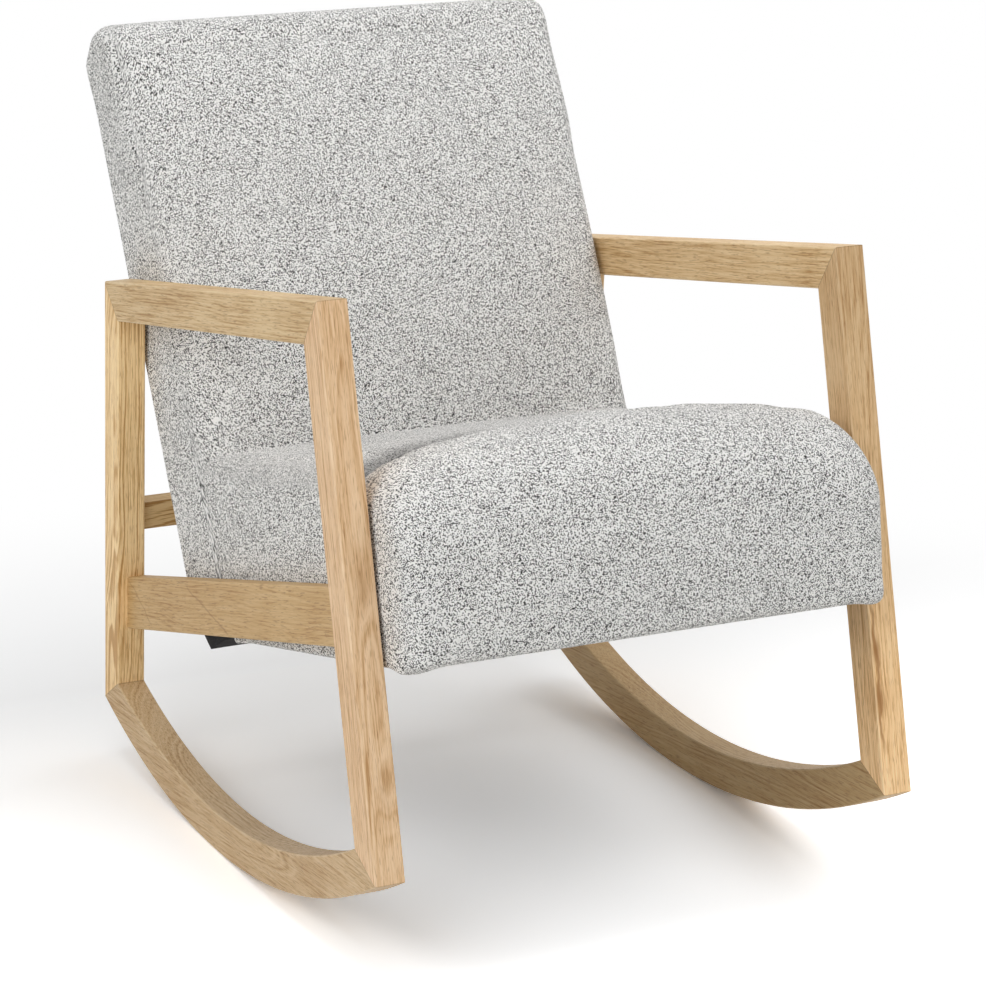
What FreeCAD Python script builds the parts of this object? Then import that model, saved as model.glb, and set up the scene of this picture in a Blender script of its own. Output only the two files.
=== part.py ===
import FreeCAD, Part
import math
import os
import Sketcher

# An upholstered rocking chair. Millimetres, +Z up, the chair faces -Y.
# The origin is the point on the floor midway between the two rockers, where they touch it.

doc = FreeCAD.newDocument("RockingChair")
sizes = doc.addObject("Spreadsheet::Sheet", "Sizes")
Vector = FreeCAD.Vector

# Driving dimensions: name, value, what it is.
DRIVING = [
    # Side frames. Reaches are measured along Y from the origin, heights from the floor.
    ("overall_width", 610.0, "over the outer faces of the two side frames"),
    ("member_thickness", 33.0, "frame member, across the chair"),
    ("member_depth", 44.0, "frame member, in the plane of the side frame"),
    ("rocker_radius", 925.0, "running edge of the rocker"),
    ("arm_front_reach", 325.5, "front top corner of the armrest, ahead of the origin"),
    ("arm_front_height", 675.4, "front top corner of the armrest"),
    ("arm_rear_margin", 226.892, "rear top corner of the armrest, behind the seat's rear end"),
    ("arm_rear_height", 570.6, "rear top corner of the armrest"),
    ("front_leg_splay", 128.3, "how far the front foot stands ahead of the armrest's front corner"),
    ("rear_leg_splay", 45.4, "how far the rear foot stands behind the armrest's rear corner"),
    ("edge_easing", 2.0, "rounding of the long edges of the frame members"),
    ("rocker_edge_flat", 1.2, "flat on the long edges of the rockers"),
    ("rail_front_height", 392.0, "upper edge of the seat rail at the front leg"),
    ("rail_rear_height", 225.4, "upper edge of the seat rail at the rear leg"),
    ("rail_depth", 60.0, "seat rail, in the plane of the side frame"),
    ("rail_inset", 12.0, "outer face of the seat rail behind the frame's outer face"),
    ("stretcher_height", 33.0, "rear stretcher"),
    ("stretcher_depth", 20.0, "rear stretcher, front to back"),
    ("stretcher_level", 295.0, "middle of the rear stretcher above the floor"),
    ("dowel_radius", 4.0, "beech dowels in the frame joints"),
    ("dowel_length", 30.0, "beech dowels"),
    ("dowel_spacing", 20.0, "between the two dowels of a mitre"),
    ("rail_dowel_spacing", 30.0, "between the two dowels of a rail end"),
    ("dowel_clearance", 0.1, "hole radius over dowel radius"),
    ("dowel_end_clearance", 0.5, "free length at each end of a dowel"),
    # Upholstered body. Its seat slopes down to the rear and its back leans to the rear.
    ("body_gap", 4.0, "between the body and each side frame"),
    ("seat_slope", 13.1, "degrees, underside of the seat, down to the rear"),
    ("back_recline", 28.2, "degrees from upright"),
    ("seat_front_overhang", 7.2, "lower front edge of the seat, ahead of the front foot"),
    ("seat_front_height", 335.7, "lower front edge of the seat"),
    ("seat_height", 198.0, "seat body, square to its underside, at its sides"),
    ("seat_front_drop", 4.0, "how much lower the roll's ends are than the rest of the seat's sides"),
    ("seat_crown", 24.0, "extra height of the seat's front roll at the middle"),
    ("seat_valley", 6.0, "dip of the seat's top between the roll and the back"),
    ("seat_rear_crown", 4.0, "extra height against the back"),
    ("front_lean", 15.0, "how far the seat's front face bulges forward"),
    ("roll_start", 112.0, "height on the front face where the front roll begins"),
    ("roll_reach", 97.0, "from the front face to the crest of the roll"),
    ("seat_lower_radius", 14.0, "lower front edge of the seat"),
    ("seat_side_radius", 24.0, "rounding along the seat's sides"),
    ("seat_depth", 541.5, "lower front edge to the back, along the seat, at seat height"),
    ("seat_back_gap", 0.4, "between seat and back"),
    ("back_height", 517.0, "back above the seat, along the back"),
    ("back_foot", 200.0, "back below the seat's top, along the back"),
    ("back_thickness", 116.0, "back slab at its edges"),
    ("back_crown", 16.0, "extra thickness in the middle of the back's front face"),
    ("back_edge_crown", 9.0, "extra thickness halfway up the sides of the back's front face"),
    ("back_crown_start", 12.0, "where the back's crown begins above the seat"),
    ("back_corner_radius", 16.0, "top corners seen from the front"),
    ("back_top_crown", 11.0, "rise of the back's upper side between its front and rear edges"),
    ("back_top_front_radius", 27.0, "rounding of the upper front edge of the back"),
    ("back_top_rear_radius", 18.0, "rounding of the upper rear edge of the back"),
    ("back_front_radius", 17.0, "rounding along the front edges of the back"),
    ("back_rear_radius", 10.0, "rounding along the rear edges of the back"),
    ("back_foot_depth", 72.0, "flat lower end of the back"),
    ("back_foot_chamfer", 50.0, "height of the slant behind the back's lower end"),
    ("cover_thickness", 2.0, "woven cover with its backing"),
    ("cover_clearance", 0.3, "between the cover and what it wraps"),
    ("side_padding", 5.2, "thin foam over the sides of the wooden boxes"),
    ("cambric_thickness", 1.2, "black dust cover under the seat"),
    ("cambric_margin", 8.0, "dust cover edge inside the seat's edge"),
    ("foot_cover_height", 24.0, "black cover on the lower end of the back"),
    ("turned_edge", 34.0, "cover turned in under the seat"),
    # Wooden boxes inside the body.
    ("board_thickness", 22.0, "plywood boards"),
    ("box_height", 128.0, "seat box"),
    ("box_front", 16.0, "front board behind the seat's lower front edge"),
    ("spring_room", 14.0, "between the seat box's upper edge and the foam"),
    ("block_leg", 46.0, "corner block, along each board"),
    ("block_height", 50.0, "corner block"),
    ("back_padding", 52.0, "foam in front of the back's frame"),
    ("back_frame_depth", 59.0, "boards of the back's frame"),
    ("top_padding", 8.5, "foam over the top of the back's frame"),
    ("foam_foot", 58.0, "back foam below the seat's top"),
    ("lower_board_level", 50.0, "lower board of the back's frame below the seat's top"),
    # Springs, webbing and hardware.
    ("spring_wire", 3.6, "diameter of the sinuous springs"),
    ("spring_width", 46.0, "over the loops of a spring"),
    ("spring_pitch", 24.0, "from one loop to the next"),
    ("clip_length", 14.0, "spring clip, along the spring"),
    ("clip_width", 30.0, "spring clip, across the spring"),
    ("clip_base", 2.0, "thickness of a spring clip under the wire"),
    ("burlap_thickness", 2.0, "cloth between springs and foam"),
    ("webbing_width", 50.0, "elastic straps of the back"),
    ("webbing_thickness", 1.5, "elastic straps of the back"),
    ("bolt_radius", 3.0, "bolts through the seat box"),
    ("bolt_clearance", 0.4, "hole radius over bolt radius"),
    ("bolt_head_radius", 6.0, "bolt heads"),
    ("bolt_head_height", 4.0, "bolt heads"),
    ("washer_radius", 9.0, "washers and spacers"),
    ("washer_thickness", 1.2, "washers"),
    ("insert_radius", 5.0, "threaded inserts in the seat rails"),
    ("insert_length", 15.0, "threaded inserts in the seat rails"),
    ("insert_clearance", 0.05, "hole radius over insert radius"),
    ("body_bolt_front", 130.0, "front bolt behind the seat's lower front edge"),
    ("body_bolt_rear", 141.5, "rear bolt ahead of the seat's rear end"),
    ("body_bolt_level", 43.0, "bolts above the seat's underside"),
    ("back_bolt_length", 60.0, "bolts from the seat box into the back's uprights"),
    ("back_bolt_low", 181.0, "lower back bolt below the seat's top"),
    ("back_bolt_high", 91.0, "upper back bolt below the seat's top"),
    ("overrun", 20.0, "how far a cutting shape passes a face"),
]
# Dimensions that follow from them: name, formula, what it is.
FOLLOWING = [
    ("front_foot_reach", "arm_front_reach + front_leg_splay", "where the front leg meets the rocker"),
    ("seat_front_reach", "front_foot_reach + seat_front_overhang", "lower front edge of the seat"),
    (
        "arm_rear_reach", "seat_depth * cos(seat_slope) - seat_front_reach + arm_rear_margin",
        "rear top corner of the armrest",
    ),
    ("rear_foot_reach", "arm_rear_reach + rear_leg_splay", "where the rear leg meets the rocker"),
]
SPRING_COUNT = 5
STRAP_COUNT = 6
SIDES = ("left", "right")

cells = [(alias, "%r" % number, note) for alias, number, note in DRIVING]
cells += [(alias, "=" + formula, note) for alias, formula, note in FOLLOWING]
for row, (alias, content, note) in enumerate(cells, start=1):
    sizes.set("A%d" % row, alias)
    sizes.set("B%d" % row, content)
    sizes.setAlias("B%d" % row, alias)
    sizes.set("C%d" % row, note)
    doc.recompute()


def size(alias):
    """A driving dimension, in millimetres or degrees."""
    return float(sizes.get(alias))


def side_sign(side):
    """Which way along X a side lies."""
    return -1.0 if side == "left" else 1.0


def bind(thing, **expressions):
    """Ties properties to cells of the sheet. A word in the text that is an alias stands for its cell."""
    for name, text in expressions.items():
        thing.setExpression(name, text)


def turned(origin, degrees):
    """A frame at a point (y, z) of the side view, turned about X."""
    return FreeCAD.Placement(Vector(0, origin[0], origin[1]), FreeCAD.Rotation(Vector(1, 0, 0), degrees))


def label(thing, name):
    thing.Label = name
    return thing


# Corners of the side frame in the side view, as (y, z).
WIDTH = size("overall_width")
THICK = size("member_thickness")
DEPTH = size("member_depth")
RADIUS = size("rocker_radius")
CENTRE = (0.0, RADIUS)


def on_running_edge(reach):
    return (reach, RADIUS - math.sqrt(RADIUS ** 2 - reach ** 2))


def unit(start, end):
    length = math.hypot(end[0] - start[0], end[1] - start[1])
    return ((end[0] - start[0]) / length, (end[1] - start[1]) / length)


def inner_corner(corner, first, second):
    """The point one member depth inside both edges that leave the corner."""
    a = unit(corner, first)
    b = unit(corner, second)
    share = DEPTH / abs(a[0] * b[1] - a[1] * b[0])
    return (corner[0] + share * (a[0] + b[0]), corner[1] + share * (a[1] + b[1]))


def inner_foot(arm, foot, side):
    """Where a leg's inner edge meets the rocker's inner edge."""
    along = unit(arm, foot)
    start = (arm[0] - side * along[1] * DEPTH, arm[1] + side * along[0] * DEPTH)
    toward = (start[0] - CENTRE[0], start[1] - CENTRE[1])
    half = toward[0] * along[0] + toward[1] * along[1]
    rest = toward[0] ** 2 + toward[1] ** 2 - (RADIUS - DEPTH) ** 2
    run = -half + math.sqrt(half ** 2 - rest)
    return (start[0] + run * along[0], start[1] + run * along[1])


ARM_FRONT = (-size("arm_front_reach"), size("arm_front_height"))
ARM_REAR = (size("arm_rear_reach"), size("arm_rear_height"))
FOOT_FRONT = on_running_edge(-size("front_foot_reach"))
FOOT_REAR = on_running_edge(size("rear_foot_reach"))
IN_ARM_FRONT = inner_corner(ARM_FRONT, ARM_REAR, FOOT_FRONT)
IN_ARM_REAR = inner_corner(ARM_REAR, ARM_FRONT, FOOT_REAR)
IN_FOOT_FRONT = inner_foot(ARM_FRONT, FOOT_FRONT, 1.0)
IN_FOOT_REAR = inner_foot(ARM_REAR, FOOT_REAR, -1.0)


def at_height(start, end, height):
    share = (height - start[1]) / (end[1] - start[1])
    return (start[0] + share * (end[0] - start[0]), height)


RAIL_FRONT = at_height(IN_ARM_FRONT, IN_FOOT_FRONT, size("rail_front_height"))
RAIL_REAR = at_height(IN_ARM_REAR, IN_FOOT_REAR, size("rail_rear_height"))


def flat(point):
    return Vector(point[0], point[1], 0)


def new_sketch(body, role="YZ_Plane"):
    sketch = body.newObject("Sketcher::SketchObject", body.Name + "_sketch")
    plane = [f for f in body.Origin.OriginFeatures if f.Role == role][0]
    sketch.AttachmentSupport = [(plane, "")]
    sketch.MapMode = "FlatFace"
    return sketch


def tie(sketch, kind, places, text):
    """Adds one measured constraint and ties its value to the sheet."""
    number = float(sizes.evalExpression(text))
    index = sketch.addConstraint(Sketcher.Constraint(kind, *places, number))
    sketch.setExpression("Constraints[%d]" % index, text)


# The layout's lines, in the order in which each sketch draws them, and the places on a line.
LAYOUT = (
    "arm", "front_leg", "rear_leg", "spoke_front", "spoke_rear",
    "in_spoke_front", "in_spoke_rear", "in_arm", "in_front", "in_rear",
)
PLACES = ("edge", "start", "end", "middle")


def on_layout(line, place):
    """The numbers by which a sketch knows a layout line and a place on it."""
    return LAYOUT.index(line), PLACES.index(place)


def add_layout(sketch):
    """The side frame's layout as construction lines: outer corners, inner corners and the rocker's centre."""
    ends = [
        (ARM_FRONT, ARM_REAR), (ARM_FRONT, FOOT_FRONT), (ARM_REAR, FOOT_REAR),
        (CENTRE, FOOT_FRONT), (CENTRE, FOOT_REAR), (CENTRE, IN_FOOT_FRONT), (CENTRE, IN_FOOT_REAR),
        (IN_ARM_FRONT, IN_ARM_REAR), (IN_ARM_FRONT, IN_FOOT_FRONT), (IN_ARM_REAR, IN_FOOT_REAR),
    ]
    sketch.addGeometry([Part.LineSegment(flat(a), flat(b)) for a, b in ends], True)
    arm, front_leg, rear_leg, spoke_front, spoke_rear = range(5)
    in_spoke_front, in_spoke_rear, in_arm, in_front, in_rear = range(5, 10)
    joined = [
        (arm, 1, front_leg, 1), (arm, 2, rear_leg, 1),
        (spoke_front, 2, front_leg, 2), (spoke_rear, 2, rear_leg, 2), (spoke_front, 1, spoke_rear, 1),
        (spoke_front, 1, in_spoke_front, 1), (spoke_front, 1, in_spoke_rear, 1),
        (in_arm, 1, in_front, 1), (in_arm, 2, in_rear, 1),
        (in_front, 2, in_spoke_front, 2), (in_rear, 2, in_spoke_rear, 2),
    ]
    sketch.addConstraint([Sketcher.Constraint("Coincident", *places) for places in joined])
    sketch.addConstraint(Sketcher.Constraint("PointOnObject", spoke_front, 1, -2))
    tie(sketch, "DistanceY", (-1, 1, spoke_front, 1), "Sizes.rocker_radius")
    tie(sketch, "DistanceX", (-1, 1, arm, 1), "-Sizes.arm_front_reach")
    tie(sketch, "DistanceY", (-1, 1, arm, 1), "Sizes.arm_front_height")
    tie(sketch, "DistanceX", (-1, 1, arm, 2), "Sizes.arm_rear_reach")
    tie(sketch, "DistanceY", (-1, 1, arm, 2), "Sizes.arm_rear_height")
    tie(sketch, "DistanceX", (-1, 1, front_leg, 2), "-Sizes.front_foot_reach")
    tie(sketch, "DistanceX", (-1, 1, rear_leg, 2), "Sizes.rear_foot_reach")
    tie(sketch, "Distance", (spoke_front, 1, spoke_front, 2), "Sizes.rocker_radius")
    tie(sketch, "Distance", (spoke_rear, 1, spoke_rear, 2), "Sizes.rocker_radius")
    for spoke in (in_spoke_front, in_spoke_rear):
        tie(sketch, "Distance", (spoke, 1, spoke, 2), "Sizes.rocker_radius - Sizes.member_depth")
    for point, line in ((in_front, arm), (in_front, front_leg), (in_rear, arm), (in_rear, rear_leg)):
        tie(sketch, "Distance", (point, 1, line), "Sizes.member_depth")
    tie(sketch, "Distance", (in_front, 2, front_leg), "Sizes.member_depth")
    tie(sketch, "Distance", (in_rear, 2, rear_leg), "Sizes.member_depth")


# Corner name: its point, and the layout line and end that hold it.
CORNERS = {
    "arm_front": (ARM_FRONT, "arm", "start"), "arm_rear": (ARM_REAR, "arm", "end"),
    "foot_front": (FOOT_FRONT, "front_leg", "end"), "foot_rear": (FOOT_REAR, "rear_leg", "end"),
    "in_arm_front": (IN_ARM_FRONT, "in_arm", "start"), "in_arm_rear": (IN_ARM_REAR, "in_arm", "end"),
    "in_foot_front": (IN_FOOT_FRONT, "in_front", "end"), "in_foot_rear": (IN_FOOT_REAR, "in_rear", "end"),
}


def pad_and_ease(body, sketch, thickness, kind="Fillet", amount="Sizes.edge_easing"):
    """Pads the profile across the chair and eases its long edges, round on a straight piece."""
    pad = body.newObject("PartDesign::Pad", body.Name + "_pad")
    pad.Profile = sketch
    bind(pad, Length=thickness)
    doc.recompute()
    long_edges = [
        "Edge%d" % i for i, edge in enumerate(pad.Shape.Edges, start=1) if edge.Length > 3 * DEPTH
    ]
    easing = body.newObject("PartDesign::" + kind, body.Name + "_easing")
    easing.Base = (pad, long_edges)
    bind(easing, **{"Radius" if kind == "Fillet" else "Size": amount})
    doc.recompute()


def straight_member(name, corners):
    """A mitred member: four corners of the layout, padded."""
    body = doc.addObject("PartDesign::Body", name)
    sketch = new_sketch(body)
    add_layout(sketch)
    loop = [CORNERS[c] for c in corners]
    first = sketch.GeometryCount
    for here, after in zip(loop, loop[1:] + loop[:1]):
        sketch.addGeometry(Part.LineSegment(flat(here[0]), flat(after[0])), False)
    for i, here in enumerate(loop):
        before = first + (i - 1) % len(loop)
        sketch.addConstraint(Sketcher.Constraint("Coincident", first + i, 1, *on_layout(*here[1:])))
        sketch.addConstraint(Sketcher.Constraint("Coincident", before, 2, first + i, 1))
    pad_and_ease(body, sketch, "Sizes.member_thickness")
    return body


def curved_member(name):
    """The rocker: two arcs about one centre, closed by the two mitres."""
    body = doc.addObject("PartDesign::Body", name)
    sketch = new_sketch(body)
    add_layout(sketch)
    arcs = []
    for start, end, radius in (
        ("foot_front", "foot_rear", RADIUS), ("in_foot_front", "in_foot_rear", RADIUS - DEPTH),
    ):
        begin = CORNERS[start][0]
        finish = CORNERS[end][0]
        circle = Part.Circle(flat(CENTRE), Vector(0, 0, 1), radius)
        low = math.atan2(begin[1] - CENTRE[1], begin[0] - CENTRE[0])
        high = math.atan2(finish[1] - CENTRE[1], finish[0] - CENTRE[0])
        arc = sketch.addGeometry(Part.ArcOfCircle(circle, low, high), False)
        spoke = LAYOUT.index(end.replace("foot", "spoke"))
        sketch.addConstraint(Sketcher.Constraint("Coincident", arc, 3, *on_layout("spoke_front", "start")))
        sketch.addConstraint(Sketcher.Constraint("Coincident", arc, 1, *on_layout(*CORNERS[start][1:])))
        sketch.addConstraint(Sketcher.Constraint("PointOnObject", arc, 2, spoke))
        arcs.append(arc)
    for end, (outer, inner) in ((1, ("foot_front", "in_foot_front")), (2, ("foot_rear", "in_foot_rear"))):
        line = sketch.addGeometry(Part.LineSegment(flat(CORNERS[outer][0]), flat(CORNERS[inner][0])), False)
        sketch.addConstraint(Sketcher.Constraint("Coincident", line, 1, arcs[0], end))
        sketch.addConstraint(Sketcher.Constraint("Coincident", line, 2, arcs[1], end))
    pad_and_ease(body, sketch, "Sizes.member_thickness", "Chamfer", "Sizes.rocker_edge_flat")
    return body


def rail_member(name):
    """The seat rail: a board between the two legs' inner edges."""
    body = doc.addObject("PartDesign::Body", name)
    sketch = new_sketch(body)
    add_layout(sketch)
    along = unit(RAIL_FRONT, RAIL_REAR)
    down = (along[1] * size("rail_depth"), -along[0] * size("rail_depth"))
    low_front = at_height(IN_ARM_FRONT, IN_FOOT_FRONT, RAIL_FRONT[1] + down[1])
    low_rear = at_height(IN_ARM_REAR, IN_FOOT_REAR, RAIL_REAR[1] + down[1])
    loop = [RAIL_FRONT, RAIL_REAR, low_rear, low_front]
    first = sketch.GeometryCount
    for here, after in zip(loop, loop[1:] + loop[:1]):
        sketch.addGeometry(Part.LineSegment(flat(here), flat(after)), False)
    for i in range(len(loop)):
        sketch.addConstraint(Sketcher.Constraint("Coincident", first + (i - 1) % 4, 2, first + i, 1))
    top, rear_end, under, front_end = range(first, first + len(loop))
    for line, leg in ((top, "in_front"), (rear_end, "in_rear"), (under, "in_rear"), (front_end, "in_front")):
        sketch.addConstraint(Sketcher.Constraint("PointOnObject", line, 1, LAYOUT.index(leg)))
    tie(sketch, "DistanceY", (-1, 1, top, 1), "Sizes.rail_front_height")
    tie(sketch, "DistanceY", (-1, 1, rear_end, 1), "Sizes.rail_rear_height")
    sketch.addConstraint(Sketcher.Constraint("Parallel", top, under))
    tie(sketch, "Distance", (under, 1, top), "Sizes.rail_depth")
    pad_and_ease(body, sketch, "Sizes.member_thickness - Sizes.rail_inset")
    return body


def cylinder(name, start, direction, radius, length):
    """A bound cylinder that starts at a point and runs along a direction."""
    thing = doc.addObject("Part::Cylinder", name)
    bind(thing, Radius=radius, Height=length)
    thing.Placement = FreeCAD.Placement(start, FreeCAD.Rotation(Vector(0, 0, 1), direction))
    return thing


def group(name, things):
    joined = doc.addObject("Part::Compound", name)
    joined.Links = things
    return joined


def cut(name, base, tools):
    """The base with several shapes taken out."""
    tool = tools[0]
    if len(tools) > 1:
        tool = doc.addObject("Part::MultiFuse", name + "_tools")
        tool.Shapes = tools
    result = doc.addObject("Part::Cut", name)
    result.Base = base
    result.Tool = tool
    return result


DOWEL_HOLE = "Sizes.dowel_radius + Sizes.dowel_clearance"
DOWEL_HOLE_LENGTH = "Sizes.dowel_length + 2 * Sizes.dowel_end_clearance"


def dowel_pair(name, x, middle, along, across, spacing):
    """Two dowels about a joint's middle, and the holes that hold them."""
    pegs = []
    holes = []
    for i, share in enumerate((-0.5, 0.5)):
        spot = Vector(x, middle[0] + share * spacing * along[0], middle[1] + share * spacing * along[1])
        way = Vector(0, across[0], across[1])
        half = size("dowel_length") / 2
        peg_name = "%s_peg_%d" % (name, i)
        hole_name = "%s_hole_%d" % (name, i)
        pegs.append(cylinder(peg_name, spot - way * half, way, "Sizes.dowel_radius", "Sizes.dowel_length"))
        back_off = half + size("dowel_end_clearance")
        holes.append(cylinder(hole_name, spot - way * back_off, way, DOWEL_HOLE, DOWEL_HOLE_LENGTH))
    return pegs, holes


def midpoint(a, b):
    return ((a[0] + b[0]) / 2, (a[1] + b[1]) / 2)


finished = []


def keep(name, thing):
    """Names a finished piece; its label is its node's name."""
    finished.append(label(thing, name))
    return thing


# The seat's own frame: x across, u to the rear along its underside, n square to it.
SEAT = turned((-size("seat_front_reach"), size("seat_front_height")), -size("seat_slope"))
# The back's own frame: x across, t from its front face to the rear, v up along it.
lean = size("back_recline") - size("seat_slope")
SEAT_TOP_REAR = SEAT.multVec(Vector(0, size("seat_depth"), size("seat_height")))
BACK = turned((SEAT_TOP_REAR.y, SEAT_TOP_REAR.z), -size("back_recline"))
TILT = math.tan(math.radians(lean))
BODY_HALF = WIDTH / 2 - THICK - size("body_gap")
BOX_HALF = BODY_HALF - size("cover_thickness") - size("side_padding") - 2 * size("cover_clearance")
BACK_HALF = BOX_HALF - size("board_thickness")


def in_seat(x, u, n):
    return SEAT.multVec(Vector(x, u, n))


def in_back(x, t, v):
    return BACK.multVec(Vector(x, t, v))


def seat_rear(n):
    """Where the back's front plane crosses the seat's frame at a height above its underside."""
    return size("seat_depth") - (size("seat_height") - n) * TILT


# Side frames.
BOLT_SPOTS = [("front", size("body_bolt_front")), ("rear", size("seat_depth") - size("body_bolt_rear"))]
RAIL_THICK = THICK - size("rail_inset")
rail_along = unit(RAIL_FRONT, RAIL_REAR)
rail_drop = (rail_along[1] * size("rail_depth") / 2, -rail_along[0] * size("rail_depth") / 2)
for side in SIDES:
    sign = side_sign(side)
    left_face = -WIDTH / 2 if sign < 0 else WIDTH / 2 - THICK
    middle_x = sign * (WIDTH - THICK) / 2
    rail_face = -WIDTH / 2 + size("rail_inset") if sign < 0 else WIDTH / 2 - THICK
    rail_middle = sign * (WIDTH / 2 - size("rail_inset") - RAIL_THICK / 2)
    pegs = {}
    holes = {}
    joints = [
        ("arm_front", ARM_FRONT, IN_ARM_FRONT), ("arm_rear", ARM_REAR, IN_ARM_REAR),
        ("foot_front", FOOT_FRONT, IN_FOOT_FRONT), ("foot_rear", FOOT_REAR, IN_FOOT_REAR),
    ]
    for spot, outer, inner in joints:
        along = unit(outer, inner)
        across = (-along[1], along[0])
        name = "%s_%s" % (side, spot)
        pegs[spot], holes[spot] = dowel_pair(
            name, middle_x, midpoint(outer, inner), along, across, size("dowel_spacing")
        )
    for spot, top, low in (("rail_front", RAIL_FRONT, IN_FOOT_FRONT), ("rail_rear", RAIL_REAR, IN_FOOT_REAR)):
        along = unit(top, low)
        centre = (top[0] + rail_drop[0], top[1] + rail_drop[1])
        if spot == "rail_front":
            centre = at_height(IN_ARM_FRONT, IN_FOOT_FRONT, centre[1])
        else:
            centre = at_height(IN_ARM_REAR, IN_FOOT_REAR, centre[1])
        pegs[spot], holes[spot] = dowel_pair(
            "%s_%s" % (side, spot), rail_middle, centre, along, rail_along, size("rail_dowel_spacing")
        )

    members = [
        (
            "armrest", ("arm_front", "arm_rear", "in_arm_rear", "in_arm_front"),
            ("arm_front", "arm_rear"),
        ),
        (
            "front_leg", ("arm_front", "in_arm_front", "in_foot_front", "foot_front"),
            ("arm_front", "foot_front", "rail_front"),
        ),
        (
            "rear_leg", ("arm_rear", "foot_rear", "in_foot_rear", "in_arm_rear"),
            ("arm_rear", "foot_rear", "rail_rear"),
        ),
    ]
    leg_along = unit(FOOT_REAR, ARM_REAR)
    leg_middle = midpoint(
        at_height(ARM_REAR, FOOT_REAR, size("stretcher_level")),
        at_height(IN_ARM_REAR, IN_FOOT_REAR, size("stretcher_level")),
    )
    way = Vector(1, 0, 0)
    half = size("dowel_length") / 2
    back_off = half + size("dowel_end_clearance")
    spread = size("stretcher_height") / 4
    pegs["stretcher"] = []
    holes["stretcher"] = []
    for i, reach in enumerate((-spread, spread)):
        place = (leg_middle[0] + reach * leg_along[0], leg_middle[1] + reach * leg_along[1])
        spot = Vector(sign * (WIDTH / 2 - THICK), place[0], place[1])
        peg_name = "%s_stretcher_peg_%d" % (side, i)
        hole_name = "%s_stretcher_hole_%d" % (side, i)
        peg = cylinder(peg_name, spot - way * half, way, "Sizes.dowel_radius", "Sizes.dowel_length")
        hole = cylinder(hole_name, spot - way * back_off, way, DOWEL_HOLE, DOWEL_HOLE_LENGTH)
        pegs["stretcher"].append(peg)
        holes["stretcher"].append(hole)

    for piece, corners, spots in members:
        body = straight_member("%s_%s_body" % (side, piece), corners)
        body.Placement.Base = Vector(left_face, 0, 0)
        used = [hole for spot in spots for hole in holes[spot]]
        if piece == "rear_leg":
            used += holes["stretcher"]
        keep("%s_%s" % (side, piece), cut("%s_%s" % (side, piece), body, used))
    rocker = curved_member("%s_rocker_body" % side)
    rocker.Placement.Base = Vector(left_face, 0, 0)
    keep("%s_rocker" % side, cut("%s_rocker" % side, rocker, holes["foot_front"] + holes["foot_rear"]))

    rail = rail_member("%s_seat_rail_body" % side)
    rail.Placement.Base = Vector(rail_face, 0, 0)
    inserts = []
    insert_holes = []
    inner_face = sign * (WIDTH / 2 - THICK)
    outward = Vector(sign, 0, 0)
    for spot, run in BOLT_SPOTS:
        start = in_seat(inner_face, run, size("body_bolt_level"))
        tag = "%s_%s" % (side, spot)
        insert_holes.append(cylinder(
            tag + "_insert_hole", start, outward, "Sizes.insert_radius + Sizes.insert_clearance",
            "Sizes.insert_length",
        ))
        plug = cylinder(tag + "_insert_blank", start, outward, "Sizes.insert_radius", "Sizes.insert_length")
        bore = cylinder(
            tag + "_insert_bore", start, outward, "Sizes.bolt_radius + Sizes.insert_clearance",
            "Sizes.insert_length",
        )
        inserts.append(cut(tag + "_insert", plug, [bore]))
    keep(
        "%s_seat_rail" % side,
        cut("%s_seat_rail" % side, rail, holes["rail_front"] + holes["rail_rear"] + insert_holes),
    )
    keep("%s_threaded_inserts" % side, group("%s_threaded_inserts" % side, inserts))
    dowels = [peg for spot in pegs for peg in pegs[spot]]
    keep("%s_frame_dowels" % side, group("%s_frame_dowels" % side, dowels))
    if sign < 0:
        left_stretcher_holes = holes["stretcher"]
    else:
        all_stretcher_holes = left_stretcher_holes + holes["stretcher"]

# Rear stretcher, square to the rear legs.
stretcher = doc.addObject("Part::Box", "rear_stretcher_blank")
bind(
    stretcher,
    Length="Sizes.overall_width - 2 * Sizes.member_thickness",
    Width="Sizes.stretcher_depth",
    Height="Sizes.stretcher_height",
)
leg_lean = math.degrees(math.atan2(-leg_along[0], leg_along[1]))
stretcher.Placement = turned(leg_middle, leg_lean).multiply(
    FreeCAD.Placement(
        Vector(-WIDTH / 2 + THICK, -size("stretcher_depth") / 2, -size("stretcher_height") / 2),
        FreeCAD.Rotation(),
    )
)
keep("rear_stretcher", cut("rear_stretcher", stretcher, all_stretcher_holes))


# Cushion forms: sections across the chair, each of lines and arcs, lofted.
def eased(distance, radius):
    """How far a rounded edge is drawn in at a distance from the side."""
    if distance >= radius:
        return 0.0
    return radius - math.sqrt(radius ** 2 - (radius - distance) ** 2)


def crowned(x, half):
    return 1.0 - (x / half) ** 2


def loop_at(x, frame, parts):
    """One closed section at a place across the chair. A part is two points, or three for an arc."""
    edges = []
    for part in parts:
        points = [frame.multVec(Vector(x, p[0], p[1])) for p in part]
        if len(points) == 2:
            edges.append(Part.makeLine(*points))
        else:
            edges.append(Part.Arc(*points).toShape())
    return Part.Wire(edges)


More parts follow.
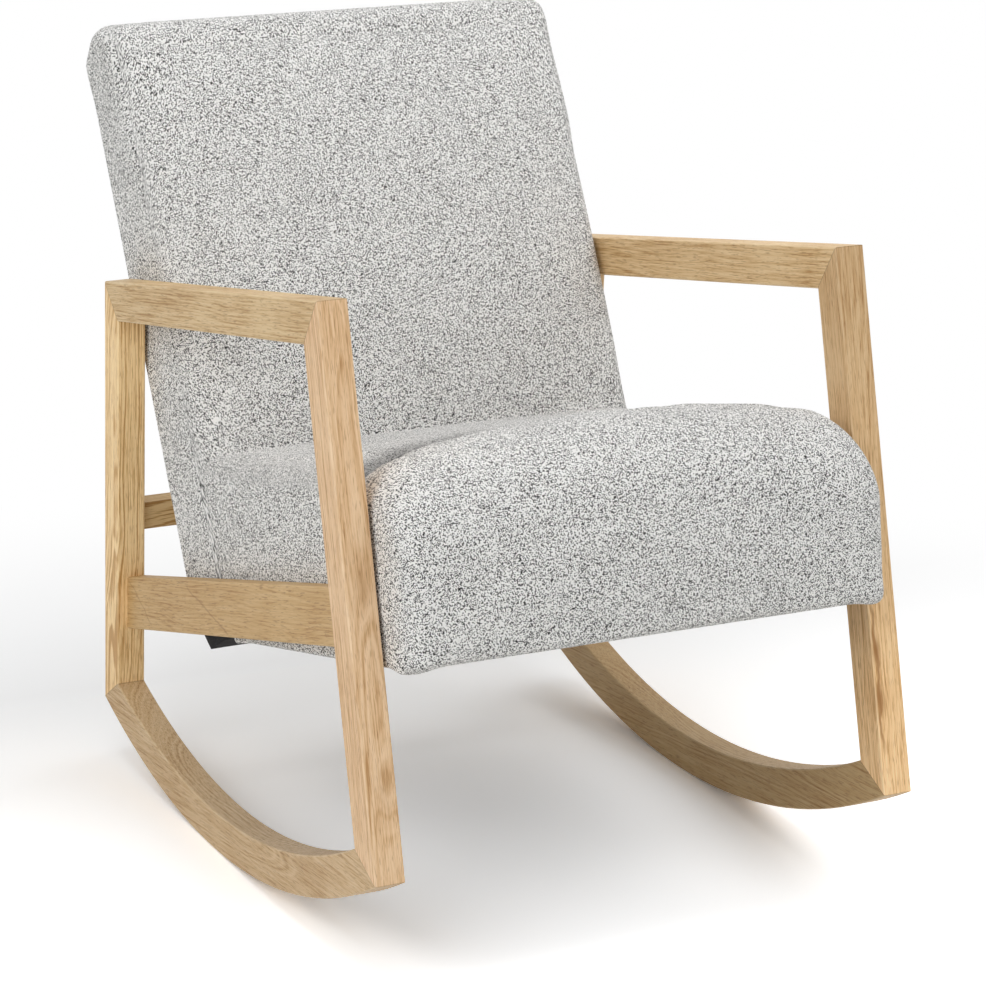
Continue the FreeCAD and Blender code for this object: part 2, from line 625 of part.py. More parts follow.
def seat_section(x, half, skin, rear_gap):
    side = eased(half - abs(x), size("seat_side_radius") - skin)
    crown = crowned(x, half)
    low = skin
    front = side + skin
    corner = size("seat_lower_radius")
    share = corner * (1 - math.sqrt(0.5))
    bulge = size("front_lean")
    roll = size("roll_start")
    crest_u = size("roll_reach") - bulge
    drop = size("seat_front_drop") * (1 - crown)
    crest_n = size("seat_height") + size("seat_crown") * crown - drop - skin - side
    rear_n = size("seat_height") + size("seat_rear_crown") * crown - skin - side
    rise = crest_n - roll
    start = (front - bulge, roll)
    crest = (crest_u, crest_n)
    quarter = math.sqrt(0.5)
    knee = (crest[0] - (crest[0] - start[0]) * quarter, start[1] + rise * quarter)
    rear_top = (seat_rear(rear_n) - rear_gap, rear_n)
    rear_low = (seat_rear(low) - rear_gap, low)
    halfway = ((crest[0] + rear_top[0]) / 2, (crest[1] + rear_top[1]) / 2 - size("seat_valley"))
    toe = (front - bulge / 5, low + corner)
    shin = (front - bulge * 0.72, (toe[1] + roll) / 2)
    toe_mid = (toe[0] + share, low + share)
    heel = (toe[0] + corner, low)
    return [
        (rear_low, heel), (heel, toe_mid, toe), (toe, shin, start), (start, knee, crest),
        (crest, halfway, rear_top), (rear_top, rear_low),
    ]


def back_section(x, half, skin, front_skin):
    gap = half - abs(x)
    front = eased(gap, size("back_front_radius") - skin) + front_skin
    rear = size("back_thickness") - skin - eased(gap, size("back_rear_radius") - skin)
    top = size("back_height") - skin - eased(gap, size("back_corner_radius") - skin)
    low = -size("back_foot") + skin
    crown = size("back_edge_crown") + (size("back_crown") - size("back_edge_crown")) * crowned(x, half)
    front_top = size("back_top_front_radius")
    rear_top = size("back_top_rear_radius")
    shoulder = top - size("back_top_crown")
    start = size("back_crown_start")
    arc_share = 1 - math.sqrt(0.5)
    slant = low + size("back_foot_chamfer")
    return [
        ((front, low), (size("back_foot_depth"), low)),
        ((size("back_foot_depth"), low), (rear, slant)),
        ((rear, slant), (rear, shoulder - rear_top)),
        (
            (rear, shoulder - rear_top),
            (rear - rear_top * arc_share, shoulder - rear_top * arc_share),
            (rear - rear_top, shoulder),
        ),
        (
            (rear - rear_top, shoulder),
            ((rear - rear_top + front + front_top) / 2, top),
            (front + front_top, shoulder),
        ),
        (
            (front + front_top, shoulder),
            (front + front_top * arc_share, shoulder - front_top * arc_share),
            (front, shoulder - front_top),
        ),
        ((front, shoulder - front_top), (front - crown, (shoulder - front_top + start) / 2), (front, start)),
        ((front, start), (front, low)),
    ]


EDGE_STEPS = 4
CROWN_STATION_SHARES = (0.7, 0.4, 0.0)


def stations(half, radius):
    """Places across the chair where a form gets a section: close around its rounded sides, wide between."""
    steps = [math.pi / 2 * i / EDGE_STEPS for i in range(EDGE_STEPS + 1)]
    outer = [half - radius * (1 - math.cos(step)) for step in steps]
    inner = [share * half for share in CROWN_STATION_SHARES]
    right = outer + inner
    return [-x for x in right[:-1]] + right[::-1]


def seat_form(skin, rear_gap):
    half = BODY_HALF - skin
    places = stations(half, size("seat_side_radius") - skin)
    wires = [loop_at(x, SEAT, seat_section(x, half, skin, rear_gap)) for x in places]
    return Part.makeLoft(wires, True, True)


def back_form(skin, front_skin):
    half = BODY_HALF - skin
    places = stations(half, size("back_corner_radius") - skin)
    wires = [loop_at(x, BACK, back_section(x, half, skin, front_skin)) for x in places]
    return Part.makeLoft(wires, True, True)


def block(frame, low, high):
    """A block in a frame, from its low corner to its high corner."""
    shape = Part.makeBox(high[0] - low[0], high[1] - low[1], high[2] - low[2], Vector(*low))
    shape.Placement = frame
    return shape


def less(shape, tools):
    """A formed shape with other shapes taken out one by one."""
    for tool in tools:
        shape = shape.cut(tool)
    return shape


def soft(name, shape):
    """Keeps a formed shape as a piece of the document."""
    thing = doc.addObject("Part::Feature", name)
    solids = shape.Solids
    thing.Shape = solids[0] if len(solids) == 1 else Part.makeCompound(solids)
    return keep(name, thing)


COVER = size("cover_thickness")
CLEAR = size("cover_clearance")
LAP = COVER + CLEAR
OVER = size("overrun")
BOARD = size("board_thickness")
BOX_LOW = LAP
BOX_TOP = BOX_LOW + size("box_height")
FOAM_LOW = BOX_TOP + size("spring_room")
REACH = size("seat_depth") + size("back_height")


def bolt_ways(radius):
    """Holes along X for the bolts that hold the body to the side frames."""
    ways = []
    for side in SIDES:
        sign = side_sign(side)
        for spot, run in BOLT_SPOTS:
            start = in_seat(sign * (BOX_HALF - BOARD - OVER), run, size("body_bolt_level"))
            run_through = WIDTH / 2 - THICK - BOX_HALF + BOARD + OVER
            ways.append(Part.makeCylinder(radius, run_through, start, Vector(sign, 0, 0)))
    return ways


bolt_hole = size("bolt_radius") + size("bolt_clearance")

# Seat cover: the seat's outer form less the same form inside it, open at the rear and below.
seat_outer = seat_form(0.0, size("seat_back_gap"))
seat_inner = seat_form(COVER, -OVER)
edge = size("turned_edge")
window = block(
    SEAT, (-BODY_HALF + edge, edge, -OVER), (BODY_HALF - edge, seat_rear(0.0) + OVER, COVER + CLEAR)
)
soft("seat_cover", less(seat_outer, [seat_inner, window] + bolt_ways(bolt_hole)))

# Seat foam: inside the cover, hollowed for the wooden box and its springs.
foam_form = seat_form(LAP, size("seat_back_gap"))
box_room = block(
    SEAT,
    (-BOX_HALF - CLEAR, size("box_front") - CLEAR, -OVER),
    (BOX_HALF + CLEAR, REACH, FOAM_LOW),
)
soft("seat_foam", less(foam_form, [box_room] + bolt_ways(bolt_hole)))

# Back cover: open at the rear, at the black lower end, and where the back meets the seat box.
back_outer = back_form(0.0, 0.0)
back_inner = back_form(COVER, COVER)
thickness = size("back_thickness")
foot_low = -size("back_foot")
foot_cap = foot_low + size("foot_cover_height")
behind = block(
    BACK, (-WIDTH, thickness - COVER - CLEAR / 2, foot_low - OVER), (WIDTH, thickness + OVER, REACH)
)
below = block(BACK, (-WIDTH, -thickness, foot_low - OVER), (WIDTH, thickness + OVER, foot_cap + CLEAR))
hatch = block(
    BACK, (-BOX_HALF - CLEAR, -thickness / 2, foot_low - OVER), (BOX_HALF + CLEAR, LAP, -size("foam_foot"))
)
shell = back_outer.cut(back_inner)
soft("back_cover", less(shell, [behind, below, hatch]))
above = block(BACK, (-WIDTH, -thickness, foot_cap), (WIDTH, thickness + OVER, REACH))
soft("back_foot_cover", less(shell, [above, hatch]))
rest = block(BACK, (-WIDTH, -thickness, foot_low - OVER), (WIDTH, thickness - COVER, REACH))
soft("back_outside_panel", less(back_outer, [rest, below]))

# Back foam: in front of the frame, with thin lips over its sides and top.
frame_top = size("back_height") - size("back_top_crown") - LAP - size("top_padding")
back_room = block(
    BACK,
    (-BACK_HALF - CLEAR, size("back_padding"), foot_low - OVER),
    (BACK_HALF + CLEAR, thickness + OVER, frame_top + CLEAR),
)
foam_end = block(BACK, (-WIDTH, -thickness, foot_low - OVER), (WIDTH, thickness + OVER, -size("foam_foot")))
rear_trim = block(BACK, (-WIDTH, thickness - LAP, foot_low), (WIDTH, thickness + OVER, REACH))
soft("back_foam", less(back_form(LAP, LAP), [back_room, foam_end, rear_trim]))


# Wooden boxes.
def plate(name, frame, x_low, vertices, thickness_text):
    """A board cut to a profile in the frame's side view, whose vertices are pairs of expressions."""
    body = doc.addObject("PartDesign::Body", name + "_board")
    sketch = new_sketch(body)
    points = [tuple(float(sizes.evalExpression(text)) for text in vertex) for vertex in vertices]
    count = len(points)
    for i in range(count):
        sketch.addGeometry(Part.LineSegment(flat(points[i]), flat(points[(i + 1) % count])), False)
    for i in range(count):
        sketch.addConstraint(Sketcher.Constraint("Coincident", (i - 1) % count, 2, i, 1))
        tie(sketch, "DistanceX", (-1, 1, i, 1), vertices[i][0])
        tie(sketch, "DistanceY", (-1, 1, i, 1), vertices[i][1])
    pad = body.newObject("PartDesign::Pad", body.Name + "_pad")
    pad.Profile = sketch
    bind(pad, Length=thickness_text)
    body.Placement = frame.multiply(FreeCAD.Placement(Vector(x_low, 0, 0), FreeCAD.Rotation()))
    return body


def board(name, frame, corner, length, width, height):
    """A plain board: a bound box in a frame."""
    thing = doc.addObject("Part::Box", name)
    bind(thing, Length=length, Width=width, Height=height)
    thing.Placement = frame.multiply(FreeCAD.Placement(Vector(*corner), FreeCAD.Rotation()))
    return thing


def solid_tool(name, shape):
    thing = doc.addObject("Part::Feature", name)
    thing.Shape = shape
    return thing


BODY_WIDTH_TEXT = "(Sizes.overall_width - 2 * Sizes.member_thickness - 2 * Sizes.body_gap)"
LAP_TEXT = "(Sizes.cover_thickness + Sizes.cover_clearance)"
BOX_WIDTH_TEXT = "(%s - 2 * %s - 2 * Sizes.side_padding - 2 * Sizes.cover_clearance)" % (
    BODY_WIDTH_TEXT, LAP_TEXT
)
TILT_TEXT = "tan((Sizes.back_recline - Sizes.seat_slope) * 1 deg)"
BACK_WIDTH_TEXT = "(%s - 2 * Sizes.board_thickness)" % BOX_WIDTH_TEXT
INNER_WIDTH_TEXT = "%s - 2 * Sizes.board_thickness" % BACK_WIDTH_TEXT

board_slant = BOARD / math.cos(math.radians(lean))
keep("seat_front_board", board(
    "seat_front_board", SEAT, (-BOX_HALF, size("box_front"), BOX_LOW),
    BOX_WIDTH_TEXT, "Sizes.board_thickness", "Sizes.box_height",
))
rear_board_low = -(size("seat_height") - BOX_LOW) / math.cos(math.radians(lean))
SLANT_TEXT = "(Sizes.board_thickness / cos((Sizes.back_recline - Sizes.seat_slope) * 1 deg))"


def rear_text(level):
    """The back's front plane at a level above the seat's underside."""
    return "Sizes.seat_depth - (Sizes.seat_height - %s) * %s" % (level, TILT_TEXT)


TOP_TEXT = "(%s + Sizes.box_height)" % LAP_TEXT
seat_rear_board = plate("seat_rear_board", SEAT, -BOX_HALF, [
    ("%s - %s" % (rear_text(LAP_TEXT), SLANT_TEXT), LAP_TEXT), (rear_text(LAP_TEXT), LAP_TEXT),
    (rear_text(TOP_TEXT), TOP_TEXT), ("%s - %s" % (rear_text(TOP_TEXT), SLANT_TEXT), TOP_TEXT),
], BOX_WIDTH_TEXT)

# Bolts: into the side frames along X, and into the back's uprights square to the back.
back_way = (BACK.Rotation.multVec(Vector(0, 1, 0)))
upright_x = BACK_HALF - BOARD / 2
BACK_SPOTS = [(side, -size(level)) for side in SIDES for level in ("back_bolt_low", "back_bolt_high")]


BOLT_HOLE = "Sizes.bolt_radius + Sizes.bolt_clearance"


def bolt(name, start, direction, length_text):
    """A bolt whose head ends at start and whose shank runs on from there."""
    top = start - direction * size("bolt_head_height")
    head = cylinder(name + "_head", top, direction, "Sizes.bolt_head_radius", "Sizes.bolt_head_height")
    shank = cylinder(name + "_shank", start, direction, "Sizes.bolt_radius", length_text)
    whole = doc.addObject("Part::Fuse", name)
    whole.Base = head
    whole.Tool = shank
    return whole


def washer(name, start, direction, thickness_text):
    blank = cylinder(name + "_blank", start, direction, "Sizes.washer_radius", thickness_text)
    bore = cylinder(name + "_bore", start, direction, BOLT_HOLE, thickness_text)
    return cut(name, blank, [bore])


back_bolts = []
back_washers = []
board_holes = []
upright_holes = []
for i, (side, level) in enumerate(BACK_SPOTS):
    sign = side_sign(side)
    face = in_back(sign * upright_x, -BOARD, level)
    seat_of_head = face - back_way * size("washer_thickness")
    back_washers.append(washer("back_washer_%d" % i, seat_of_head, back_way, "Sizes.washer_thickness"))
    back_bolts.append(bolt("back_bolt_%d" % i, seat_of_head, back_way, "Sizes.back_bolt_length"))
    board_holes.append(cylinder(
        "board_hole_%d" % i, face - back_way * OVER, back_way, BOLT_HOLE,
        "Sizes.board_thickness + 2 * Sizes.overrun",
    ))
    upright_holes.append((side, cylinder(
        "upright_hole_%d" % i, in_back(sign * upright_x, -OVER, level), back_way,
        "Sizes.bolt_radius + Sizes.dowel_clearance",
        "Sizes.back_bolt_length - Sizes.board_thickness + Sizes.overrun",
    )))
keep("back_bolts", group("back_bolts", back_bolts))
keep("back_bolt_washers", group("back_bolt_washers", back_washers))
keep("seat_rear_board", cut("seat_rear_board", seat_rear_board, board_holes))

side_profile = [
    ("Sizes.box_front + Sizes.board_thickness", LAP_TEXT),
    ("%s - %s" % (rear_text(LAP_TEXT), SLANT_TEXT), LAP_TEXT),
    ("%s - %s" % (rear_text(TOP_TEXT), SLANT_TEXT), TOP_TEXT),
    ("Sizes.box_front + Sizes.board_thickness", TOP_TEXT),
]
frame_bolts = []
bolt_washers = []
spacers = []
for side in SIDES:
    sign = side_sign(side)
    x_low = -BOX_HALF if sign < 0 else BOX_HALF - BOARD
    blank = plate("%s_seat_board" % side, SEAT, x_low, side_profile, "Sizes.board_thickness")
    outward = Vector(sign, 0, 0)
    tools = []
    for spot, run in BOLT_SPOTS:
        tag = "%s_%s" % (side, spot)
        inner = in_seat(sign * (BOX_HALF - BOARD), run, size("body_bolt_level"))
        seat_of_head = inner - outward * size("washer_thickness")
        tools.append(cylinder(
            tag + "_board_hole", inner - outward * OVER, outward, BOLT_HOLE,
            "Sizes.board_thickness + 2 * Sizes.overrun",
        ))
        bolt_washers.append(washer(tag + "_washer", seat_of_head, outward, "Sizes.washer_thickness"))
        frame_bolts.append(bolt(
            tag + "_bolt", seat_of_head, outward,
            "Sizes.washer_thickness + Sizes.board_thickness + Sizes.side_padding + Sizes.cover_clearance + %s"
            " + Sizes.body_gap + Sizes.insert_length * 0.9" % LAP_TEXT,
        ))
        spacer_start = in_seat(sign * BODY_HALF, run, size("body_bolt_level"))
        spacers.append(washer(tag + "_spacer", spacer_start, outward, "Sizes.body_gap"))
    keep("%s_seat_board" % side, cut("%s_seat_board" % side, blank, tools))
keep("frame_bolts", group("frame_bolts", frame_bolts))
keep("frame_bolt_washers", group("frame_bolt_washers", bolt_washers))
keep("frame_spacers", group("frame_spacers", spacers))


def corner_block(name, x, u, across, along):
    """A triangular block in a corner of the seat box."""
    leg = size("block_leg")
    low = BOX_LOW + (size("box_height") - size("block_height")) / 2
    points = [in_seat(x, u, low), in_seat(x + across * leg, u, low), in_seat(x, u + along * leg, low)]
    face = Part.Face(Part.makePolygon(points + points[:1]))
    up = SEAT.Rotation.multVec(Vector(0, 0, size("block_height")))
    return solid_tool(name, face.extrude(up))


block_low_u = size("box_front") + BOARD
block_high_u = seat_rear(BOX_LOW + (size("box_height") - size("block_height")) / 2) - board_slant
blocks = []
for side in SIDES:
    sign = side_sign(side)
    inner_x = sign * (BOX_HALF - BOARD)
    blocks.append(corner_block("%s_front_block" % side, inner_x, block_low_u, -sign, 1.0))
    blocks.append(corner_block("%s_rear_block" % side, inner_x, block_high_u, -sign, -1.0))
keep("seat_corner_blocks", group("seat_corner_blocks", blocks))

# Back frame: two uprights with a deep foot, and three boards between them.
FRONT_TEXT = "(Sizes.back_padding + Sizes.cover_thickness)"
REAR_TEXT = "(%s + Sizes.back_frame_depth)" % FRONT_TEXT
FRAME_TOP_TEXT = "(Sizes.back_height - Sizes.back_top_crown - %s - Sizes.top_padding)" % LAP_TEXT
FOOT_TEXT = "(%s + Sizes.cover_clearance - Sizes.back_foot)" % LAP_TEXT
upright_profile = [
    ("Sizes.cover_clearance * 0.01", FOOT_TEXT),
    ("Sizes.back_foot_depth - Sizes.cover_thickness", FOOT_TEXT),
    (REAR_TEXT, "%s + Sizes.back_foot_chamfer" % FOOT_TEXT),
    (REAR_TEXT, FRAME_TOP_TEXT),
    (FRONT_TEXT, FRAME_TOP_TEXT),
    (FRONT_TEXT, "-Sizes.foam_foot - Sizes.cover_clearance"),
    ("Sizes.cover_clearance * 0.01", "-Sizes.foam_foot - Sizes.cover_clearance"),
]
for side in SIDES:
    sign = side_sign(side)
    x_low = -BACK_HALF if sign < 0 else BACK_HALF - BOARD
    blank = plate("%s_back_upright" % side, BACK, x_low, upright_profile, "Sizes.board_thickness")
    tools = [hole for at, hole in upright_holes if at == side]
    keep("%s_back_upright" % side, cut("%s_back_upright" % side, blank, tools))

frame_front = size("back_padding") + COVER
inner_low = -BACK_HALF + BOARD
keep("back_top_board", board(
    "back_top_board", BACK, (inner_low, frame_front, frame_top - BOARD),
    INNER_WIDTH_TEXT, "Sizes.back_frame_depth", "Sizes.board_thickness",
))
keep("back_lower_board", board(
    "back_lower_board", BACK, (inner_low, frame_front, -size("lower_board_level")),
    INNER_WIDTH_TEXT, "Sizes.back_frame_depth", "Sizes.board_thickness",
))
keep("back_foot_board", board(
    "back_foot_board", BACK, (inner_low, CLEAR, foot_low + LAP + CLEAR), INNER_WIDTH_TEXT,
    "Sizes.back_foot_depth - %s - Sizes.cover_clearance" % LAP_TEXT, "Sizes.board_thickness",
))

# Elastic straps across the front of the back's frame.
straps = []
strap_low = -size("lower_board_level")
strap_step = (frame_top - strap_low - size("webbing_width")) / (STRAP_COUNT - 1)
for i in range(STRAP_COUNT):
    straps.append(board(
        "back_strap_%d" % i, BACK,
        (-BACK_HALF, frame_front - size("webbing_thickness"), strap_low + i * strap_step),
        BACK_WIDTH_TEXT, "Sizes.webbing_thickness", "Sizes.webbing_width",
    ))
keep("back_webbing", group("back_webbing", straps))

# Sinuous springs from the front board to the rear board, in clips.
WIRE = size("spring_wire")
wire_n = BOX_TOP + size("clip_base") + WIRE / 2
spring_start = size("box_front") + BOARD / 2
spring_end = seat_rear(BOX_TOP) - board_slant / 2


def on_spring(x, u):
    """A point of a spring at a place along the seat."""
    return in_seat(x, u, wire_n)


def spring_path(x):
    """Straight runs across the spring, joined by half turns split in two arcs."""
    pitch = size("spring_pitch")
    swing = size("spring_width") / 2 - WIRE / 2 - pitch / 2
    count = 2 * int((spring_end - spring_start) / (2 * pitch))
    lead = ((spring_end - spring_start) - count * pitch) / 2
    radius = pitch / 2
    bend = math.sqrt(0.5) * radius
    u = spring_start + lead
    edges = [Part.makeLine(on_spring(x, spring_start), on_spring(x, u))]
    here = (x, u)
    turn = 1.0
    for i in range(count):
        corner = (x + turn * swing, u)
        nose = (corner[0] + turn * radius, u + radius)
        after = (corner[0], u + pitch)
        first = (corner[0] + turn * bend, u + radius - bend)
        second = (corner[0] + turn * bend, u + radius + bend)
        edges.append(Part.makeLine(on_spring(*here), on_spring(*corner)))
        edges.append(Part.Arc(on_spring(*corner), on_spring(*first), on_spring(*nose)).toShape())
        edges.append(Part.Arc(on_spring(*nose), on_spring(*second), on_spring(*after)).toShape())
        here = after
        u += pitch
        turn = -turn
    edges.append(Part.makeLine(on_spring(*here), on_spring(x, u)))
    edges.append(Part.makeLine(on_spring(x, u), on_spring(x, spring_end)))
    return Part.Wire(edges)


spring_span = 2 * (BOX_HALF - BOARD) / SPRING_COUNT
spring_places = [-BOX_HALF + BOARD + (i + 0.5) * spring_span for i in range(SPRING_COUNT)]
springs = []
clips = []
for i, x in enumerate(spring_places):
    path = spring_path(x)
    along = SEAT.Rotation.multVec(Vector(0, 1, 0))
    ring = Part.Wire([Part.makeCircle(WIRE / 2, on_spring(x, spring_start), along)])
    springs.append(path.makePipeShell([ring], True, False, 2))
    for end, u in (("front", spring_start), ("rear", spring_end)):
        clips.append(board(
            "clip_%d_%s" % (i, end), SEAT, (x - size("clip_width") / 2, u - size("clip_length") / 2, BOX_TOP),
            "Sizes.clip_width", "Sizes.clip_length", "Sizes.clip_base",
        ))
soft("seat_springs", Part.makeCompound(springs))
keep("spring_clips", group("spring_clips", clips))
burlap_low = FOAM_LOW - CLEAR - size("burlap_thickness")
keep("seat_burlap", board(
    "seat_burlap", SEAT, (-BOX_HALF, size("box_front"), burlap_low), BOX_WIDTH_TEXT,
    "%s - Sizes.box_front - Sizes.board_thickness" % rear_text(TOP_TEXT), "Sizes.burlap_thickness",
))

# Black dust cover under the seat box.
margin = size("cambric_margin")
keep("seat_dust_cover", board(
    "seat_dust_cover", SEAT,
    (-BODY_HALF + margin, margin + size("seat_lower_radius"), -size("cambric_thickness")),
    "%s - 2 * Sizes.cambric_margin" % BODY_WIDTH_TEXT,
    "%s - 2 * Sizes.cambric_margin - Sizes.seat_lower_radius" % rear_text("0"), "Sizes.cambric_thickness",
))

doc.recompute()
for thing in doc.Objects:
    if "Invalid" in thing.State or "Error" in thing.State:
        raise RuntimeError("%s did not build: %s" % (thing.Label, thing.State))
for thing in finished:
    if thing.Shape.isNull() or not thing.Shape.isValid():
        raise RuntimeError("%s has no valid shape" % thing.Label)

os.makedirs("parts", exist_ok=True)
for thing in finished:
    thing.Shape.exportStep("parts/%s.step" % thing.Label)
    box = thing.Shape.BoundBox
    print("%-22s solids %2d volume %11.1f  y %7.1f %7.1f  z %6.1f %6.1f" % (
        thing.Label, len(thing.Shape.Solids), thing.Shape.Volume, box.YMin, box.YMax, box.ZMin, box.ZMax,
    ))
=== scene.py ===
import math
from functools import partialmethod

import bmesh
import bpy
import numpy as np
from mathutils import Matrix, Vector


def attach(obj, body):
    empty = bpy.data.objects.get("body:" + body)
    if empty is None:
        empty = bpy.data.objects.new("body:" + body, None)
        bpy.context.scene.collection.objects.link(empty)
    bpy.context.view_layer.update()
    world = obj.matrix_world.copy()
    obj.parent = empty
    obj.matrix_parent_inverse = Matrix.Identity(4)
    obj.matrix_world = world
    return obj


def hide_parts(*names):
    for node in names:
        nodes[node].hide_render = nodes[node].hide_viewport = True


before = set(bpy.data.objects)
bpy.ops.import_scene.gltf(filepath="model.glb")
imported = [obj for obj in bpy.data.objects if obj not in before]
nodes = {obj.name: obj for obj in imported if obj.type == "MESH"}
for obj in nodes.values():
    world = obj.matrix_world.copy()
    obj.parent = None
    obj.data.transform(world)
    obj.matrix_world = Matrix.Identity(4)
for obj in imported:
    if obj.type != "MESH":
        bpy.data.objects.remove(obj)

# %% [markdown]
# # An upholstered rocking chair
# Two open oak frames stand on curved rockers, and one padded body hangs between them.
# The CAD model gives every member its exact place, so the wooden parts only need their finish.
# The padded parts are made anew here, because cloth over foam is never as flat as a solid.
#
# All lengths are metres. X runs across the chair, Y from front to rear, Z up.

scene = bpy.context.scene
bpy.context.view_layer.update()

# %% [markdown]
# ## The camera
# The picture was taken from the front left, a little above the armrests, with a long lens.
# Its place and direction were solved from the straight edges of the frame, so that every
# edge of the model falls on the edge in the picture.

# %% Camera
camera_place = Vector((-1.5463, -3.3312, 1.4180))
camera_turn = math.radians(-25.43)
camera_drop = math.radians(16.04)
camera_data = bpy.data.cameras.new("chair_camera")
camera_data.lens = 126.83
camera_data.sensor_width = 36.0
camera_data.clip_start = 0.05
camera = bpy.data.objects.new("chair_camera", camera_data)
camera.location = camera_place
camera.rotation_euler = (math.pi / 2 - camera_drop, 0.0, camera_turn)
scene.collection.objects.link(camera)
scene.camera = camera
scene.view_settings.view_transform = "Standard"
print("camera looks along", [round(v, 3) for v in camera.rotation_euler.to_matrix() @ Vector((0, 0, -1))])

# %% [markdown]
# ## Small helpers for materials
# A material is a little network of nodes. The helpers below keep the recipes short. The first
# lets numbers that change from point to point be added and multiplied as plain ones are.


# %% Values
class Value:
    """A number that a network works out at each point. Every sum with it adds one maths node."""

    def __init__(self, socket):
        self.socket = socket

    def by(self, operation, *others):
        made = self.socket.id_data.nodes.new("ShaderNodeMath")
        made.operation = operation
        for socket, value in zip(made.inputs, (self, *others)):
            put(socket, value)
        return Value(made.outputs[0])

    __add__ = partialmethod(by, "ADD")
    __sub__ = partialmethod(by, "SUBTRACT")
    __mul__ = partialmethod(by, "MULTIPLY")
    __truediv__ = partialmethod(by, "DIVIDE")
    __pow__ = partialmethod(by, "POWER")
    __abs__ = partialmethod(by, "ABSOLUTE")


def bare(value):
    return value.socket if isinstance(value, Value) else value


def put(socket, value):
    """Sets a socket, or links it to what feeds it."""
    value = bare(value)
    if isinstance(value, bpy.types.NodeSocket):
        socket.id_data.links.new(value, socket)
    else:
        socket.default_value = value


def tuned(made, **settings):
    """Sets the properties of a node, a lamp, a modifier or the like."""
    for name, value in settings.items():
        setattr(made, name, value)
    return made


def feed(made, inputs):
    """Fills or links the inputs of a node."""
    for name, value in inputs.items():
        put(made.inputs[name], value)
    return made


def add(tree, kind, inputs=None, **settings):
    """Adds a node with its properties and its inputs."""
    return feed(tuned(tree.nodes.new(kind), **settings), inputs or {})


def beside(given, kind, inputs, **settings):
    """Adds a node in the network that one of the given sockets belongs to."""
    sockets = [bare(value) for value in given if isinstance(bare(value), bpy.types.NodeSocket)]
    return add(sockets[0].id_data, kind, inputs, **settings)


print("values ready")


# %% Places and patterns
def split(vector):
    """The three parts of a vector."""
    return [Value(part) for part in beside([vector], "ShaderNodeSeparateXYZ", {"Vector": vector}).outputs]


def vectors(operation, *given):
    """One sum on vectors. A length or a dot product comes out as a value."""
    made = beside(given, "ShaderNodeVectorMath", dict(enumerate(given)), operation=operation)
    return Value(made.outputs[1]) if operation in ("LENGTH", "DOT_PRODUCT") else made.outputs[0]


def scaled(vector, factor):
    return beside([vector, factor], "ShaderNodeVectorMath", {0: vector, 3: factor}, operation="SCALE").outputs[0]


def stretched(vector, scale, shift=(0, 0, 0)):
    given = {"Vector": vector, "Location": shift, "Scale": scale}
    return beside([vector], "ShaderNodeMapping", given).outputs[0]


def turned(vector, middle, turn):
    """Places as seen from a frame of their own."""
    given = {"Vector": vector, "Location": middle, "Rotation": turn}
    return beside([vector], "ShaderNodeMapping", given, vector_type="TEXTURE").outputs[0]


def noise(vector, scale, detail, flat=False, **more):
    """Soft random spots. Flat ones lie in the cloth's own map."""
    given = {"Vector": vector, "Scale": scale, "Detail": detail, **more}
    kind = "2D" if flat else "3D"
    return Value(beside([vector], "ShaderNodeTexNoise", given, noise_dimensions=kind).outputs["Fac"])


def cells(vector, scale):
    """Distance to the nearest of many scattered dots."""
    made = beside([vector], "ShaderNodeTexVoronoi", {"Vector": vector, "Scale": scale})
    return Value(made.outputs["Distance"])


def ramp(value, start, end, low, high, smooth=False):
    """A value that runs from low at start to high at end."""
    given = {"Value": value, "From Min": start, "From Max": end, "To Min": low, "To Max": high}
    kind = "SMOOTHSTEP" if smooth else "LINEAR"
    return Value(beside([value], "ShaderNodeMapRange", given, interpolation_type=kind).outputs[0])


print("patterns ready")


# %% Colours and finishes
def paint(red, green, blue):
    """A colour as a picture editor writes it, from 0 to 255, turned into light."""
    shares = [v / 255.0 for v in (red, green, blue)]
    light = [s / 12.92 if s <= 0.04045 else ((s + 0.055) / 1.055) ** 2.4 for s in shares]
    return (*light, 1.0)


def blend(share, low, high, kind="MIX"):
    """Two colours mixed by a share."""
    given = {0: share, 6: low, 7: high}
    return beside(given.values(), "ShaderNodeMix", given, data_type="RGBA", blend_type=kind).outputs[2]


def colour_ramp(value, low, middle, high):
    """Three colours, each given with the value where it stands, and their blends in between."""
    made = beside([value], "ShaderNodeValToRGB", {"Fac": value})
    stops = made.color_ramp.elements
    stops[0].position, stops[0].color = low
    stops[1].position, stops[1].color = high
    stops.new(middle[0]).color = middle[1]
    return made.outputs["Color"]


def new_finish(name, own_map=None):
    """An empty material: its main shader, and the place that its pattern follows.

    The place is the piece's own map if it has one, and otherwise the point itself.
    """
    finish = bpy.data.materials.new(name)
    finish.use_nodes = True
    tree = finish.node_tree
    tree.nodes.clear()
    shader = tree.nodes.new("ShaderNodeBsdfPrincipled")
    add(tree, "ShaderNodeOutputMaterial", {"Surface": shader.outputs[0]})
    if own_map:
        return finish, shader, add(tree, "ShaderNodeUVMap", uv_map=own_map).outputs[0]
    return finish, shader, tree.nodes.new("ShaderNodeTexCoord").outputs["Object"]


def join(shader, colour, rough, height, strength, distance, shine=0.5):
    """Feeds the shader its colour, roughness and shine, and the small relief of the surface."""
    given = {"Height": height, "Strength": strength, "Distance": distance}
    relief = beside([height], "ShaderNodeBump", given).outputs[0]
    feed(shader, {"Base Color": colour, "Roughness": rough, "Specular IOR Level": shine, "Normal": relief})


